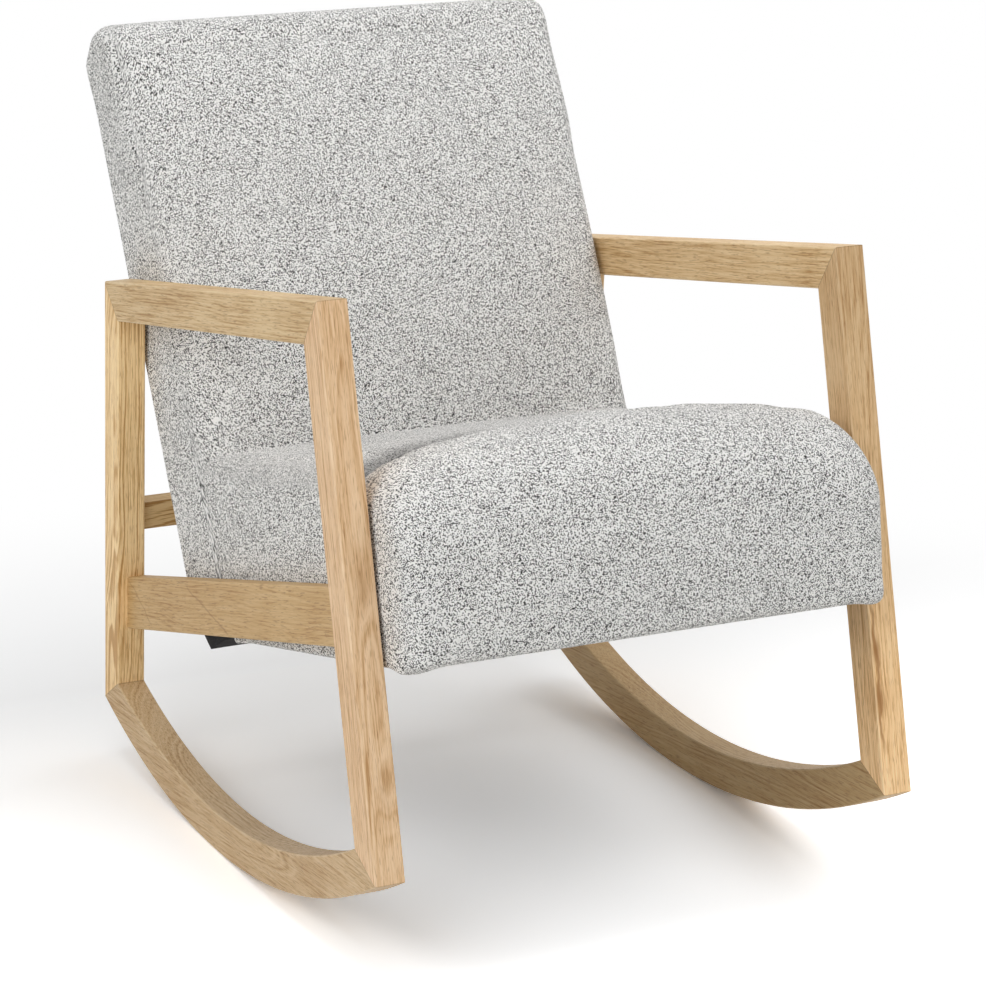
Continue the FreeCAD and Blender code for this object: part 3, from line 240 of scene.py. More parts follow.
def looked_at(tree):
    """1 for rays from the camera, also by way of a mirror or glass, and 0 for rays of light."""
    rays = tree.nodes.new("ShaderNodeLightPath").outputs
    straight = Value(rays["Is Camera Ray"])
    return straight.by("MAXIMUM", rays["Is Glossy Ray"]).by("MAXIMUM", rays["Is Transmission Ray"])


print("colours ready")

# %% [markdown]
# ## Floor and light
# A product picture has a white room: a pale floor that keeps the chair's soft shadow, one
# large lamp on the left, one on the right that balances its shadow, a weak one in front, one
# above, and light from all round. To the camera the floor is a sheet of paper with painted
# shade in its colour, greyer towards the rear and paler towards the front, and it fades to plain
# white away from the chair, and the world is white.
# This whiteness adds no light to the chair.

# %% Floor
FLOOR_HALF = 9
PAPER = (1.60, 1.61, 1.62)
FADE_START, FADE_END = 0.5, 1.35

floor_mesh = bpy.data.meshes.new("floor")
floor_corners = [(x * FLOOR_HALF, y * FLOOR_HALF, 0) for x, y in ((-1, -1), (1, -1), (1, 1), (-1, 1))]
floor_mesh.from_pydata(floor_corners, [], [(0, 1, 2, 3)])
floor = bpy.data.objects.new("floor", floor_mesh)
scene.collection.objects.link(floor)
floor_finish, shader, here = new_finish("pale_floor")
tree = floor_finish.node_tree
feed(shader, {"Base Color": paint(232, 232, 230), "Roughness": 0.9, "Specular IOR Level": 0.1})
# Painted shade: the floor's colour to the camera darkens towards the rear and brightens towards the front, shaping
# the chair's shadow.
painted_floor_shade = (split(here)[1] * -0.6 + 0.93).by("MAXIMUM", 0.6).by("MINIMUM", 1.15)
bleached = add(tree, "ShaderNodeBsdfDiffuse", {"Color": scaled(PAPER, painted_floor_shade)})
white = add(tree, "ShaderNodeEmission", {"Color": (1, 1, 1, 1), "Strength": 1.0})
fading = ramp(vectors("LENGTH", here), FADE_START, FADE_END, 0.0, 1.0, True)
faded = add(tree, "ShaderNodeMixShader", {0: fading, 1: bleached.outputs[0], 2: white.outputs[0]})
mixed = add(tree, "ShaderNodeMixShader", {0: looked_at(tree), 1: shader.outputs[0], 2: faded.outputs[0]})
put(tree.nodes["Material Output"].inputs["Surface"], mixed.outputs[0])
floor_mesh.materials.append(floor_finish)
print("floor", floor.name)

# %% World and lamps
ROOM_LIGHT = 0.46

world = bpy.data.worlds.new("white_room")
world.use_nodes = True
scene.world = world
tree = world.node_tree
tree.nodes.clear()
strength = looked_at(tree) * (1.0 - ROOM_LIGHT) + ROOM_LIGHT
sky = add(tree, "ShaderNodeBackground", {"Color": (1, 1, 1, 1), "Strength": strength})
add(tree, "ShaderNodeOutputWorld", {"Surface": sky.outputs[0]})


def lamp(name, place, target, width, height, power):
    """A flat lamp that looks at a point."""
    data = tuned(bpy.data.lights.new(name, "AREA"), shape="RECTANGLE", size=width, size_y=height, energy=power)
    made = bpy.data.objects.new(name, data)
    made.location = place
    made.rotation_euler = (Vector(target) - Vector(place)).to_track_quat("-Z", "Y").to_euler()
    scene.collection.objects.link(made)


lamp("key_lamp", (-3.1, -1.9, 2.6), (0, 0, 0.4), 3.4, 3.0, 59.5)
lamp("balance_lamp", (3.0, 0.5, 2.8), (0, 0, 0.4), 3.4, 3.0, 38.5)
lamp("front_lamp", (1.4, -3.2, 1.9), (0, 0, 0.4), 2.0, 1.6, 13.0)
lamp("top_lamp", (0.0, 0.3, 3.6), (0, 0, 0.3), 2.6, 2.6, 29.0)

# %% [markdown]
# ## Oak
# The frame is pale oiled oak. Its grain runs along each member, the way the board was sawn,
# so every member carries its own copy of the recipe with its own direction. Rings are
# distances from the heart of the tree, bent a little by slow noise; over them lie long fibres
# and short dark pores. Where the heart is near a face, the rings show as pointed arches.
# Fine dark lines mark the mitres, and the long edges are smoother and paler: the paleness is partly wear and partly a
# painted highlight.

# %% Oak's colours and rings
OAK_LIGHT = paint(227, 197, 155)
OAK_BODY = paint(210, 175, 129)
OAK_VEIN = paint(176, 134, 84)
OAK_PORE = paint(146, 104, 60)
# Pale colour of the long edges: wear, and a painted highlight.
OAK_WORN_HIGHLIGHT = paint(240, 216, 180)
OAK_GLUE = paint(96, 66, 38)
MIDDLE_TONE = 0.555
RINGS_PER_METRE = 430.0


def member_frame(start, end):
    """Middle and turn of a member: its own X runs from start to end, its own Y across the chair."""
    along = (Vector(end) - Vector(start)).normalized()
    across = Vector((1, 0, 0)) if abs(along.x) < 0.9 else Vector((0, 1, 0))
    deep = along.cross(across).normalized()
    across = deep.cross(along)
    turn = Matrix((along, across, deep)).transposed()
    return (Vector(start) + Vector(end)) / 2, turn.to_euler()


def oak_tone(own, heart, seed, figure, swirl, contrast):
    """Tone of the wood, low in a dark ring and high in pale wood, with its fibres and its pores."""
    bend = noise(stretched(own, (4.2, 20, 20), (seed, 0, 0)), 1.0, 2.0)
    far_along, side, deep = split(own)
    side, deep = side - heart[0], deep - heart[1]
    out = (side * side + deep * deep).by("SQRT") + far_along * 0.03 + bend * 0.026 + swirl
    at_ring = out * RINGS_PER_METRE
    ring = beside([at_ring], "ShaderNodeTexNoise", {"W": at_ring, "Scale": 1.0, "Detail": 1.5}, noise_dimensions="1D")
    fibre = noise(stretched(own, (16, 640, 640), (seed * 3, 0, 0)), 1.0, 3.5, Roughness=0.72)
    pore = noise(stretched(own, (75, 1000, 1000), (seed * 5, 0, 0)), 1.0, 1.0)
    broad = noise(own, 9.0, 2.0)
    tone = Value(ring.outputs["Fac"]) * (0.36 * figure) + (0.275 - 0.18 * figure)
    tone = tone + fibre * 0.40 + broad * 0.16
    tone = (tone - MIDDLE_TONE) * contrast + MIDDLE_TONE
    return tone, fibre, ramp(pore, 0.58, 0.70, 0.0, 0.50)


print("rings ready")


# %% Oak recipe
def oak(name, start, end, heart, seed, half, mitres=(), tint=(1.0, 1.0, 1.0), figure=0.5, contrast=2.0,
        fall=(1.0, 1.0), knots=(), veins=(), bend=None):
    """Oiled oak whose grain runs from start to end.

    Half is half the member's width and depth, fall its shade at each end, and bend the radius of
    the underside of a curved member. A knot is a place, a reach, a push on the rings and a
    darkness; a vein is a place, the direction square to it, a reach, a width and a darkness.
    """
    finish, shader, here = new_finish(name)
    middle, turn = member_frame(start, end)
    own = turned(here, middle, turn)
    swirl = burl = 0.0
    for place, reach, push, dark in knots:
        spot = turn.to_matrix().inverted() @ (Vector(place) - middle)
        off = vectors("MULTIPLY", vectors("SUBTRACT", own, spot), (0.33, 1.0, 1.0))
        near = ((vectors("LENGTH", off) / reach) ** 2.0 * -1.0).by("EXPONENT")
        swirl = near * push + swirl
        burl = near ** 3.0 * dark + burl
    tone, fibre, pores = oak_tone(own, heart, seed, figure, swirl, contrast)
    colour = colour_ramp(tone, (0.36, OAK_VEIN), (0.50, OAK_BODY), (0.70, OAK_LIGHT))
    colour = blend(pores, colour, OAK_PORE)
    if knots:
        colour = blend(burl, colour, OAK_PORE)
    wobble = noise(own, 45.0, 1.0)
    for place, normal, reach, width, dark in veins:
        off = vectors("SUBTRACT", here, place)
        line = abs(vectors("DOT_PRODUCT", off, normal) + (wobble - 0.5) * 0.010)
        line = ramp(line, width * 0.3, width, dark, 0.0)
        line = line * ramp(vectors("LENGTH", off), reach * 0.75, reach, 1.0, 0.0)
        colour = blend(line, colour, OAK_PORE)
    for place, normal in mitres:
        line = abs(vectors("DOT_PRODUCT", vectors("SUBTRACT", here, place), normal))
        colour = blend(ramp(line, 0.0003, 0.0009, 0.36, 0.0), colour, OAK_GLUE)
    far_along, side, deep = split(own)
    if bend:
        _, rearward, rise = split(here)
        rise = rise - bend
        deep = (rise * rise + rearward ** 2.0).by("SQRT") - (bend - half[1])
    edge = ramp(abs(side), half[0] - 0.0022, half[0] - 0.0004, 0.0, 1.0, True)
    edge = edge * ramp(abs(deep), half[1] - 0.0022, half[1] - 0.0004, 0.0, 1.0, True)
    # Paler along the long edges: partly wear, partly a painted highlight where the eased edges catch the light.
    worn_and_highlit = edge * ramp(wobble, 0.35, 0.65, 0.15, 0.55)
    colour = blend(worn_and_highlit, colour, OAK_WORN_HIGHLIGHT)
    colour = blend(1.0, colour, (*tint, 1.0), "MULTIPLY")
    if fall != (1.0, 1.0):
        span = (Vector(end) - Vector(start)).length / 2
        colour = scaled(colour, ramp(far_along, -span, span, *fall, True))
    rough = ramp(fibre, 0.3, 0.7, 0.58, 0.46) - worn_and_highlit * 0.12
    join(shader, colour, rough, fibre - pores * 1.5, 0.25, 0.0004, shine=0.35)
    return finish


print("oak recipe ready")


# %% Corners of the side frames
def dress(made, finish):
    """Gives a piece its one finish."""
    made.data.materials.clear()
    made.data.materials.append(finish)


CORNERS = {
    "arm_front": ((-0.3255, 0.6754), (-0.2919, 0.6251)), "arm_rear": ((0.2933, 0.5706), (0.2525, 0.5329)),
    "foot_front": ((-0.4538, 0.1189), (-0.4032, 0.1419)), "foot_rear": ((0.3387, 0.0642), (0.2917, 0.0939)),
}
MEMBER_HALF = (0.0165, 0.022)
RAIL_HALF = (0.0105, 0.030)
STRETCHER_HALF = (0.010, 0.0165)
ROCKER_RADIUS = 0.925


def mitre(corner):
    """A mitre as a point and the direction square to it."""
    outer, inner = CORNERS[corner]
    run = Vector((0, inner[0] - outer[0], inner[1] - outer[1])).normalized()
    return (0.0, *outer), (0.0, -run.z, run.y)


def middle_of(corner, x):
    outer, inner = CORNERS[corner]
    return (x, (outer[0] + inner[0]) / 2, (outer[1] + inner[1]) / 2)


print("corners", list(CORNERS))

# %% [markdown]
# ## Each member its own board
# No two members of the real chair look alike. The arms have quiet straight grain, the near
# front leg shows arches near its foot, the rockers are cut across a livelier board, and the
# far front leg has a dark vein with two small knots. So each member gets its own heart,
# its own strength of figure and its own shade. The far rocker's much darker tint is painted
# shade, for the shadow that the seat casts on it.

# %% Oak on the members
MEMBERS = (
    ("armrest", "arm_rear", "arm_front"),
    ("front_leg", "foot_front", "arm_front"),
    ("rear_leg", "foot_rear", "arm_rear"),
    ("rocker", "foot_rear", "foot_front"),
)
BOARDS = {
    "left_armrest": dict(heart=(0.03, -0.09), figure=0.35, contrast=3.0, tint=(0.94, 0.96, 0.91)),
    "left_front_leg": dict(
        heart=(0.004, -0.043), figure=0.5, contrast=2.3, tint=(1.15, 1.13, 1.20),
        knots=(((-0.2868, -0.3877, 0.4058), 0.012, 0.005, 0.16), ((-0.2842, -0.4328, 0.2098), 0.014, 0.006, 0.16))),
    "left_rear_leg": dict(heart=(0.05, -0.03), figure=0.8, contrast=3.4, tint=(1.33, 1.36, 1.27)),
    "left_rocker": dict(
        heart=(0.02, -0.05), figure=0.55, tint=(0.88, 0.89, 0.89),
        knots=(((-0.305, -0.28, 0.075), 0.030, 0.007, 0.1), ((-0.305, 0.15, 0.096), 0.034, 0.006, 0.1))),
    "right_armrest": dict(heart=(-0.04, -0.08), figure=0.35, contrast=2.6, tint=(1.04, 1.05, 1.0)),
    "right_front_leg": dict(
        heart=(0.03, -0.06), figure=0.5, contrast=2.6, tint=(1.10, 1.06, 1.0), fall=(1.28, 0.84),
        knots=(((0.2768, -0.4313, 0.2167), 0.009, 0.006, 0.8), ((0.2774, -0.4195, 0.2677), 0.007, 0.005, 0.95)),
        veins=(((0.2765, -0.4255, 0.2420), (1.0, 0.0, 0.0), 0.085, 0.0026, 0.80),)),
    "right_rear_leg": dict(heart=(-0.05, -0.04), figure=0.5, tint=(1.0, 0.98, 0.94)),
    # Painted shade: the far rocker is tinted darker for the shadow of the seat over it.
    "right_rocker": dict(heart=(-0.02, -0.05), figure=0.55, contrast=1.7, tint=(0.73, 0.70, 0.59)),
    "left_seat_rail": dict(
        heart=(0.04, -0.07), figure=0.45, contrast=1.8, tint=(0.83, 0.78, 0.63),
        veins=(((-0.293, 0.0215, 0.2602), (0.0, 0.126, -0.992), 0.072, 0.0018, 0.42),
               ((-0.293, 0.2400, 0.2078), (0.0, 0.424, -0.906), 0.046, 0.0016, 0.34))),
    "right_seat_rail": dict(heart=(-0.04, -0.07), figure=0.45, tint=(0.92, 0.90, 0.82)),
    "rear_stretcher": dict(heart=(0.05, 0.05), figure=0.8, contrast=6.0, tint=(0.96, 0.94, 0.80)),
}
ends = {"rear_stretcher": ((-0.27, 0.296, 0.295), (0.27, 0.296, 0.295), STRETCHER_HALF, ())}
for side, x in (("left", -0.2885), ("right", 0.2885)):
    for piece, start, end in MEMBERS:
        ends[f"{side}_{piece}"] = (middle_of(start, x), middle_of(end, x), MEMBER_HALF, (mitre(start), mitre(end)))
    rail = x - math.copysign(0.006, x)
    ends[f"{side}_seat_rail"] = ((rail, 0.2935, 0.1908), (rail, -0.3534, 0.3630), RAIL_HALF, ())
for number, (node, (start, end, half, mitres)) in enumerate(sorted(ends.items())):
    bend = ROCKER_RADIUS if node.endswith("rocker") else None
    seed = 1.0 + 2.37 * number
    dress(nodes[node], oak(f"oak_{node}", start, end, seed=seed, half=half, mitres=mitres, bend=bend, **BOARDS[node]))
print("oak on", len(ends), "members")

# %% [markdown]
# ## The hidden parts
# Under the cover is a plain workshop build: plywood boards, beech dowels, plated springs and
# bolts. Nobody sees them in the shop, but the model is also looked at taken apart, so they
# get true finishes as well. Plywood is thin veneers in turns along and across, so its edges
# show stripes. The stripes follow the direction of the board's thickness.

# %% Plywood and beech
PLY = 0.0015


def plywood(name, through, grain, seed):
    """Birch plywood. Through is the direction of its thickness, grain that of its face veneer."""
    finish, shader, here = new_finish(name)
    _, turn = member_frame((0, 0, 0), grain)
    own = turned(here, (seed, 0, 0), turn)
    layer = (vectors("DOT_PRODUCT", here, through) / PLY).by("FLOOR")
    crossed = abs(layer.by("MODULO", 2.0))
    fibre = noise(stretched(own, (6, 260, 260)), 1.0, 3.0)
    cloud = noise(own, 14.0, 2.0)
    pale = ramp(fibre, 0.35, 0.65, 0.0, 1.0)
    pale = blend(pale, paint(196, 164, 120), paint(222, 196, 156))
    dark = blend(cloud, paint(150, 112, 72), paint(178, 140, 96))
    colour = blend(crossed * 0.7, pale, dark)
    rough = ramp(fibre, 0.3, 0.7, 0.75, 0.6)
    join(shader, colour, rough, fibre + crossed * 0.5, 0.3, 0.0003, shine=0.3)
    return finish


ACROSS = (1.0, 0.0, 0.0)
SEAT_ALONG, SEAT_UP = (0.0, 0.9740, -0.2267), (0.0, 0.2267, 0.9740)
BACK_IN, BACK_UP = (0.0, 0.8813, -0.4726), (0.0, 0.4726, 0.8813)
BOARD_WAYS = {
    "left_seat_board": (ACROSS, SEAT_ALONG), "right_seat_board": (ACROSS, SEAT_ALONG),
    "seat_front_board": (SEAT_ALONG, ACROSS), "seat_rear_board": (BACK_IN, ACROSS),
    "left_back_upright": (ACROSS, BACK_UP), "right_back_upright": (ACROSS, BACK_UP),
    "back_top_board": (BACK_UP, ACROSS), "back_lower_board": (BACK_UP, ACROSS),
    "back_foot_board": (BACK_UP, ACROSS), "seat_corner_blocks": (SEAT_UP, SEAT_ALONG),
}
for number, (node, (through, grain)) in enumerate(BOARD_WAYS.items()):
    dress(nodes[node], plywood(f"plywood_{node}", through, grain, 0.7 * number))
beech, shader, here = new_finish("turned_beech")
fibre = noise(here, 520.0, 3.0)
rays = ramp(cells(here, 900.0), 0.0, 0.25, 0.5, 0.0)
colour = blend(fibre, paint(190, 146, 104), paint(222, 184, 140))
colour = blend(rays, colour, paint(150, 104, 68))
join(shader, colour, ramp(fibre, 0.3, 0.7, 0.7, 0.55), fibre, 0.3, 0.0003)
for side in ("left", "right"):
    dress(nodes[f"{side}_frame_dowels"], beech)
print("boards", len(BOARD_WAYS), "and dowels dressed")


# %% Metal and plastic
def plated(name, colour, dull, tool_marks):
    """Bright zinc on steel, with clouds in the plating and fine marks of the tool."""
    finish, shader, here = new_finish(name)
    cloud = ramp(noise(here, 160.0, 4.0), 0.35, 0.65, 0.0, 1.0)
    marks = noise(here, tool_marks, 2.0)
    rough = ramp(marks, 0.3, 0.7, dull - 0.08, dull + 0.10)
    join(shader, blend(cloud, colour, paint(214, 208, 186)), rough, marks, 0.2, 0.0002)
    feed(shader, {"Metallic": 1.0})
    return finish


bright_zinc = plated("bright_zinc", paint(200, 205, 212), 0.32, 1400.0)
spring_steel = plated("spring_steel", paint(170, 172, 176), 0.42, 900.0)
for node in ("back_bolts", "back_bolt_washers", "frame_bolts", "frame_bolt_washers",
             "left_threaded_inserts", "right_threaded_inserts"):
    dress(nodes[node], bright_zinc)
for node in ("seat_springs", "spring_clips"):
    dress(nodes[node], spring_steel)
nylon, shader, here = new_finish("black_nylon")
grit = noise(here, 1800.0, 2.0)
colour = blend(noise(here, 90.0, 2.0), paint(26, 26, 27), paint(46, 46, 47))
join(shader, colour, ramp(grit, 0.3, 0.7, 0.38, 0.55), grit, 0.25, 0.0002)
dress(nodes["frame_spacers"], nylon)
print("metal", bright_zinc.name, spring_steel.name, "plastic", nylon.name)

# %% [markdown]
# ## The woven cover
# The cover is a heathered cloth: off-white yarn with grey slubs and charcoal flecks, in a
# plain weave of yarns about a millimetre apart. The cloth has its own map in metres, laid
# over the padding the way the upholsterer pulls it, so the yarns run straight along and
# across each piece. Every crossing of two yarns gets a tone of its own, longer streaks follow
# the yarns both ways, and a broad cloudiness keeps large faces from looking printed. Where
# two panels meet, the point data "seam" draws the stitched groove. A second point data darkens
# the cloth in the valley behind the seat's front roll: this is painted shade, the shade of that
# valley laid into the cloth's colour.

# %% Cover recipe
YARN = 0.00092
YARN_SWAY = 0.55


def waves(vector):
    """Two sine waves, one along each way of the map, that pass zero between two yarns."""
    return [(part * math.pi).by("SINE") for part in split(vector)[:2]]


def woven(name, light, dark, fleck):
    """Heathered plain weave on the piece's own map, which is in metres."""
    finish, shader, cloth = new_finish(name, "weave")
    yarns = scaled(cloth, 1.0 / YARN)
    tree = finish.node_tree
    sway = add(tree, "ShaderNodeTexNoise", {"Vector": yarns, "Scale": 0.30, "Detail": 1.0}, noise_dimensions="2D")
    yarns = vectors("ADD", yarns, scaled(sway.outputs["Color"], YARN_SWAY))
    crossing = vectors("FLOOR", yarns)
    tone = Value(add(tree, "ShaderNodeTexWhiteNoise", {"Vector": crossing}, noise_dimensions="2D").outputs["Value"])
    weft = noise(stretched(yarns, (0.14, 0.9, 1.0)), 1.0, 2.0, flat=True)
    warp = noise(stretched(yarns, (0.9, 0.14, 1.0), (7, 3, 0)), 1.0, 2.0, flat=True)
    cloud = noise(cloth, 22.0, 2.0, flat=True)
    heather = tone * 0.90 + weft * 0.30 + warp * 0.25 + cloud * 0.08
    colour = colour_ramp(heather, (0.51, fleck), (0.58, dark), (0.65, light))
    near_seam, painted_seat_shade_share = [
        Value(add(tree, "ShaderNodeAttribute", attribute_name=what).outputs["Fac"]) for what in ("seam", "painted_seat_shade")]
    groove = ramp(near_seam, 0.86, 0.97, 0.0, 1.0, True)
    colour = blend(groove * 0.06, colour, fleck)
    # Painted shade: the cloth darkens towards the fleck colour in the valley behind the seat's front roll.
    colour = blend(painted_seat_shade_share * 0.55, colour, fleck)
    wave_across, wave_along = waves(yarns)
    height = abs(wave_across * wave_along) + tone * 0.6 - groove * 0.5
    join(shader, colour, 0.92, height, 0.6, 0.0005, shine=0.15)
    feed(shader, {"Sheen Weight": 0.12, "Sheen Roughness": 0.5})
    return finish


cover_cloth = woven("heathered_weave", paint(255, 254, 252), paint(122, 120, 118), paint(24, 23, 22))
print("cover cloth", cover_cloth.name)

# %% [markdown]
# ## Padded forms
# The seat and the back are foam and springs under a tight cover. The outside of the CAD cover
# is the tailor's pattern: its inner wall is taken away and its open side closed, which gives
# one closed form. It is laid flat in its own frame first, so that even squares follow its
# faces. Then Blender's cloth solver blows it up a little, which rounds the corners and lets
# the faces belly out between them, as foam does under a tight cover.


# %% Frames of the padded body
def body_frame(y, z, lean):
    """A frame of the side view: its Y runs along the seat or into the back, its Z away from it."""
    turn = math.radians(lean)
    sine, cosine = math.sin(turn), math.cos(turn)
    return Matrix(((1, 0, 0, 0), (0, cosine, sine, y), (0, -sine, cosine, z), (0, 0, 0, 1)))


SEAT_FRAME = body_frame(-0.461, 0.3357, 13.1)
BACK_FRAME = body_frame(0.1113, 0.4058, 28.2)
HALF_WIDTH = 0.268
print("seat runs along", [round(v, 3) for v in SEAT_FRAME.col[1][:3]],
      "back rises along", [round(v, 3) for v in BACK_FRAME.col[2][:3]])

# %% Pattern from the CAD cover
SQUARE = 0.0062
TOUCHING = 0.00002


def mesh_of(form, name):
    """The form as a mesh; the form is let go."""
    mesh = bpy.data.meshes.new(name)
    form.to_mesh(mesh)
    form.free()
    return mesh


def new_piece(name, mesh):
    made = bpy.data.objects.new(name, mesh)
    scene.collection.objects.link(made)
    return made


def closed_form(name, pattern, frame_of_body):
    """The outside of a CAD cover as one closed form, in the body's own frame."""
    form = bmesh.new()
    form.from_mesh(nodes[pattern].data)
    bmesh.ops.remove_doubles(form, verts=form.verts, dist=TOUCHING)
    low = Vector([min(v.co[i] for v in form.verts) for i in range(3)])
    high = Vector([max(v.co[i] for v in form.verts) for i in range(3)])
    heart = (low + high) / 2
    inner = [f for f in form.faces if f.normal.dot(f.calc_center_median() - heart) < 0]
    bmesh.ops.delete(form, geom=inner, context="FACES")
    rims = [e for e in form.edges if e.is_boundary]
    bmesh.ops.holes_fill(form, edges=rims, sides=0)
    bmesh.ops.triangulate(form, faces=form.faces)
    bmesh.ops.recalc_face_normals(form, faces=form.faces)
    form.transform(frame_of_body.inverted())
    return new_piece(name, mesh_of(form, name))


def finished_mesh(made):
    """Applies the modifiers of a piece."""
    depsgraph = bpy.context.evaluated_depsgraph_get()
    mesh = bpy.data.meshes.new_from_object(made.evaluated_get(depsgraph))
    made.modifiers.clear()
    made.data = mesh
    mesh.name = made.name
    return made


def modified(made, kind, **settings):
    """Gives a piece one modifier and applies it."""
    tuned(made.modifiers.new(kind.lower(), kind), **settings)
    return finished_mesh(made)


seat, back = [
    modified(closed_form(name, pattern, own), "REMESH", mode="VOXEL", voxel_size=SQUARE, use_smooth_shade=True)
    for name, pattern, own in (
        ("seat_cushion", "seat_cover", SEAT_FRAME), ("back_cushion", "back_cover", BACK_FRAME))]
print("seat", len(seat.data.vertices), "points, back", len(back.data.vertices), "points")


# %% Points of a piece
def read_points(made, what):
    flat = np.zeros(len(made.data.vertices) * 3, np.float32)
    made.data.vertices.foreach_get(what, flat)
    return flat.reshape(-1, 3).astype(float)


def points_of(made):
    return read_points(made, "co")


def set_points(made, points):
    made.data.vertices.foreach_set("co", points.astype(np.float32).ravel())
    made.data.update()


def point_data(made, name, values):
    data = made.data.attributes.new(name, "FLOAT", "POINT").data
    data.foreach_set("value", values.astype(np.float32))


def ease(value, low, high):
    """0 up to low, 1 from high on, with a soft start and end in between."""
    share = np.clip((value - low) / (high - low), 0, 1)
    return share * share * (3 - 2 * share)


def evened(made, rounds):
    """Takes the small steps out of a form. Each push inwards is followed by one outwards, so it keeps its size."""
    pairs = np.zeros(len(made.data.edges) * 2, np.int32)
    made.data.edges.foreach_get("vertices", pairs)
    first, second = pairs.reshape(-1, 2).T
    points = points_of(made)
    many = np.bincount(pairs, minlength=len(points))[:, None]
    for push in (0.5, -0.52) * rounds:
        total = np.zeros_like(points)
        np.add.at(total, first, points[second])
        np.add.at(total, second, points[first])
        points += push * (total / many - points)
    set_points(made, points)


for piece in (seat, back):
    evened(piece, 9)
print("forms evened")

# %% [markdown]
# ## The hollow behind the seat's front roll
# The front of the seat is a thick roll of foam. Just behind it the cover sinks a little
# between the foam layers, most near the two sides, where the roll ends. On the picture this is
# the soft dark band that runs inwards from the armrest; the valley gives part of its darkness,
# and the rest is painted shade in the cloth's colour. The points of the top are lowered
# along a smooth valley, and the two upper corners of the roll get a larger rounding than the
# rest of the edge.

# %% Valley of the seat
VALLEY_AT, VALLEY_REACH = 0.150, 0.034
VALLEY_MIDDLE, VALLEY_SIDES = 0.0015, 0.0190
EDGE_ROUNDING, ROLL_ROUNDING = 0.024, 0.046

x, along, up = points_of(seat).T
valley = np.exp(-(((along - VALLEY_AT) / VALLEY_REACH) ** 2)) * ease(up, 0.13, 0.20)
lowered = (VALLEY_MIDDLE + VALLEY_SIDES * ease(np.abs(x), 0.02, 0.24)) * valley
print("valley up to", round(float(lowered.max()) * 1000, 1), "mm deep")


def drop(x, radius):
    """How far a rounded edge has fallen at x."""
    past = np.clip(np.abs(x) - HALF_WIDTH + radius, 0, radius)
    return radius - np.sqrt(radius * radius - past * past)


rounder = drop(x, ROLL_ROUNDING) - drop(x, EDGE_ROUNDING)
rounder = rounder * (1 - ease(along, 0.06, 0.17)) * ease(up, 0.08, 0.21)
at_side = ease(np.abs(x), 0.225, 0.262) * (1 - ease(up, 0.0, 0.03))
at_front = 1 - ease(along, 0.02, 0.06)
corner_fill = at_side * (0.003 * ease(along, 0.43, 0.49) + 0.0045 * at_front)
x = x + np.sign(x) * 0.002 * at_side * at_front
set_points(seat, np.stack([x, along, up - lowered - rounder - corner_fill], 1))
evened(seat, 3)
print("corners of the roll fall by", round(float(rounder.max()) * 1000, 1), "mm more")

# %% Blowing up
CLOTH_FRAMES = 20
CLOTH = dict(quality=5, mass=0.4, tension_stiffness=25, compression_stiffness=25, shear_stiffness=15,
             bending_stiffness=2, use_pressure=True, vertex_group_mass="held")
LOOSE_ENOUGH = 0.02


def swell(made, loose, draw_in, pressure, cap, rise, dip):
    """Draws a form in and blows it up as cloth. Loose is 0 where it is held.

    The end lies at most dip under and rise over the form.
    """
    shape = points_of(made)
    outward = read_points(made, "normal")
    start = shape - outward * (draw_in * loose)[:, None]
    set_points(made, start)
    held = made.vertex_groups.new(name="held")
    held.add(np.nonzero(loose < LOOSE_ENOUGH)[0].tolist(), 1.0, "REPLACE")
    cloth = made.modifiers.new("cloth", "CLOTH")
    tuned(cloth.settings, uniform_pressure_force=pressure, **CLOTH)
    cloth.settings.effector_weights.gravity = 0
    cloth.collision_settings.use_collision = False
    for number in range(1, CLOTH_FRAMES + 1):
        scene.frame_set(number)
    finished_mesh(made)
    made.vertex_groups.clear()
    moved = points_of(made) - start
    far = np.linalg.norm(moved, axis=1)
    moved *= (np.minimum(far, cap * loose) / np.maximum(far, 1e-9))[:, None]
    off = start + moved - shape
    over = np.sum(off * outward, axis=1)
    off += outward * (np.clip(over, -dip * loose, rise * loose) - over)[:, None]
    set_points(made, shape + off)
    scene.frame_set(1)
    print(made.name, "moved by up to", round(float(far.max()) * 1000, 1), "mm,",
          "over the pattern by", round(float(over.mean()) * 1000, 2), "mm")


x, along, up = points_of(seat).T
loose = ease(up, 0.012, 0.05) * (1 - ease(along, 0.45, 0.50)) * (1 - 0.75 * ease(np.abs(x), 0.262, 0.266))
swell(seat, loose, 0.0035, 4.0, 0.008, 0.0025, 0.0015)
x, inward, height = points_of(back).T
loose = ease(height, 0.0, 0.04) * (1 - 0.75 * ease(np.abs(x), 0.262, 0.266))
swell(back, loose, 0.0035, 4.0, 0.008, 0.0040, 0.0005)
for piece in (seat, back):
    evened(piece, 3)

# %% [markdown]
# ## The full top of the back
# The back is stuffed hardest along its top edge, so it stands a few millimetres prouder there
# than its pattern, and its two upper corners are plump.

# %% Plump top
x, inward, height = points_of(back).T
to_corner = ease(height, 0.43, 0.50) * ease(np.abs(x), 0.20, 0.262)
above_arms = ease(height, 0.30, 0.36) * (1 - ease(inward, 0.03, 0.09)) * ease(np.abs(x), 0.20, 0.26)
wider = 0.0030 * to_corner + 0.0035 * above_arms
taller = 0.0048 * ease(height, 0.38, 0.50) - 0.0010 * to_corner
set_points(back, np.stack([x + np.sign(x) * wider, inward, height + taller], 1))
print("top raised by", round(float(taller.max()) * 1000, 1), "mm")

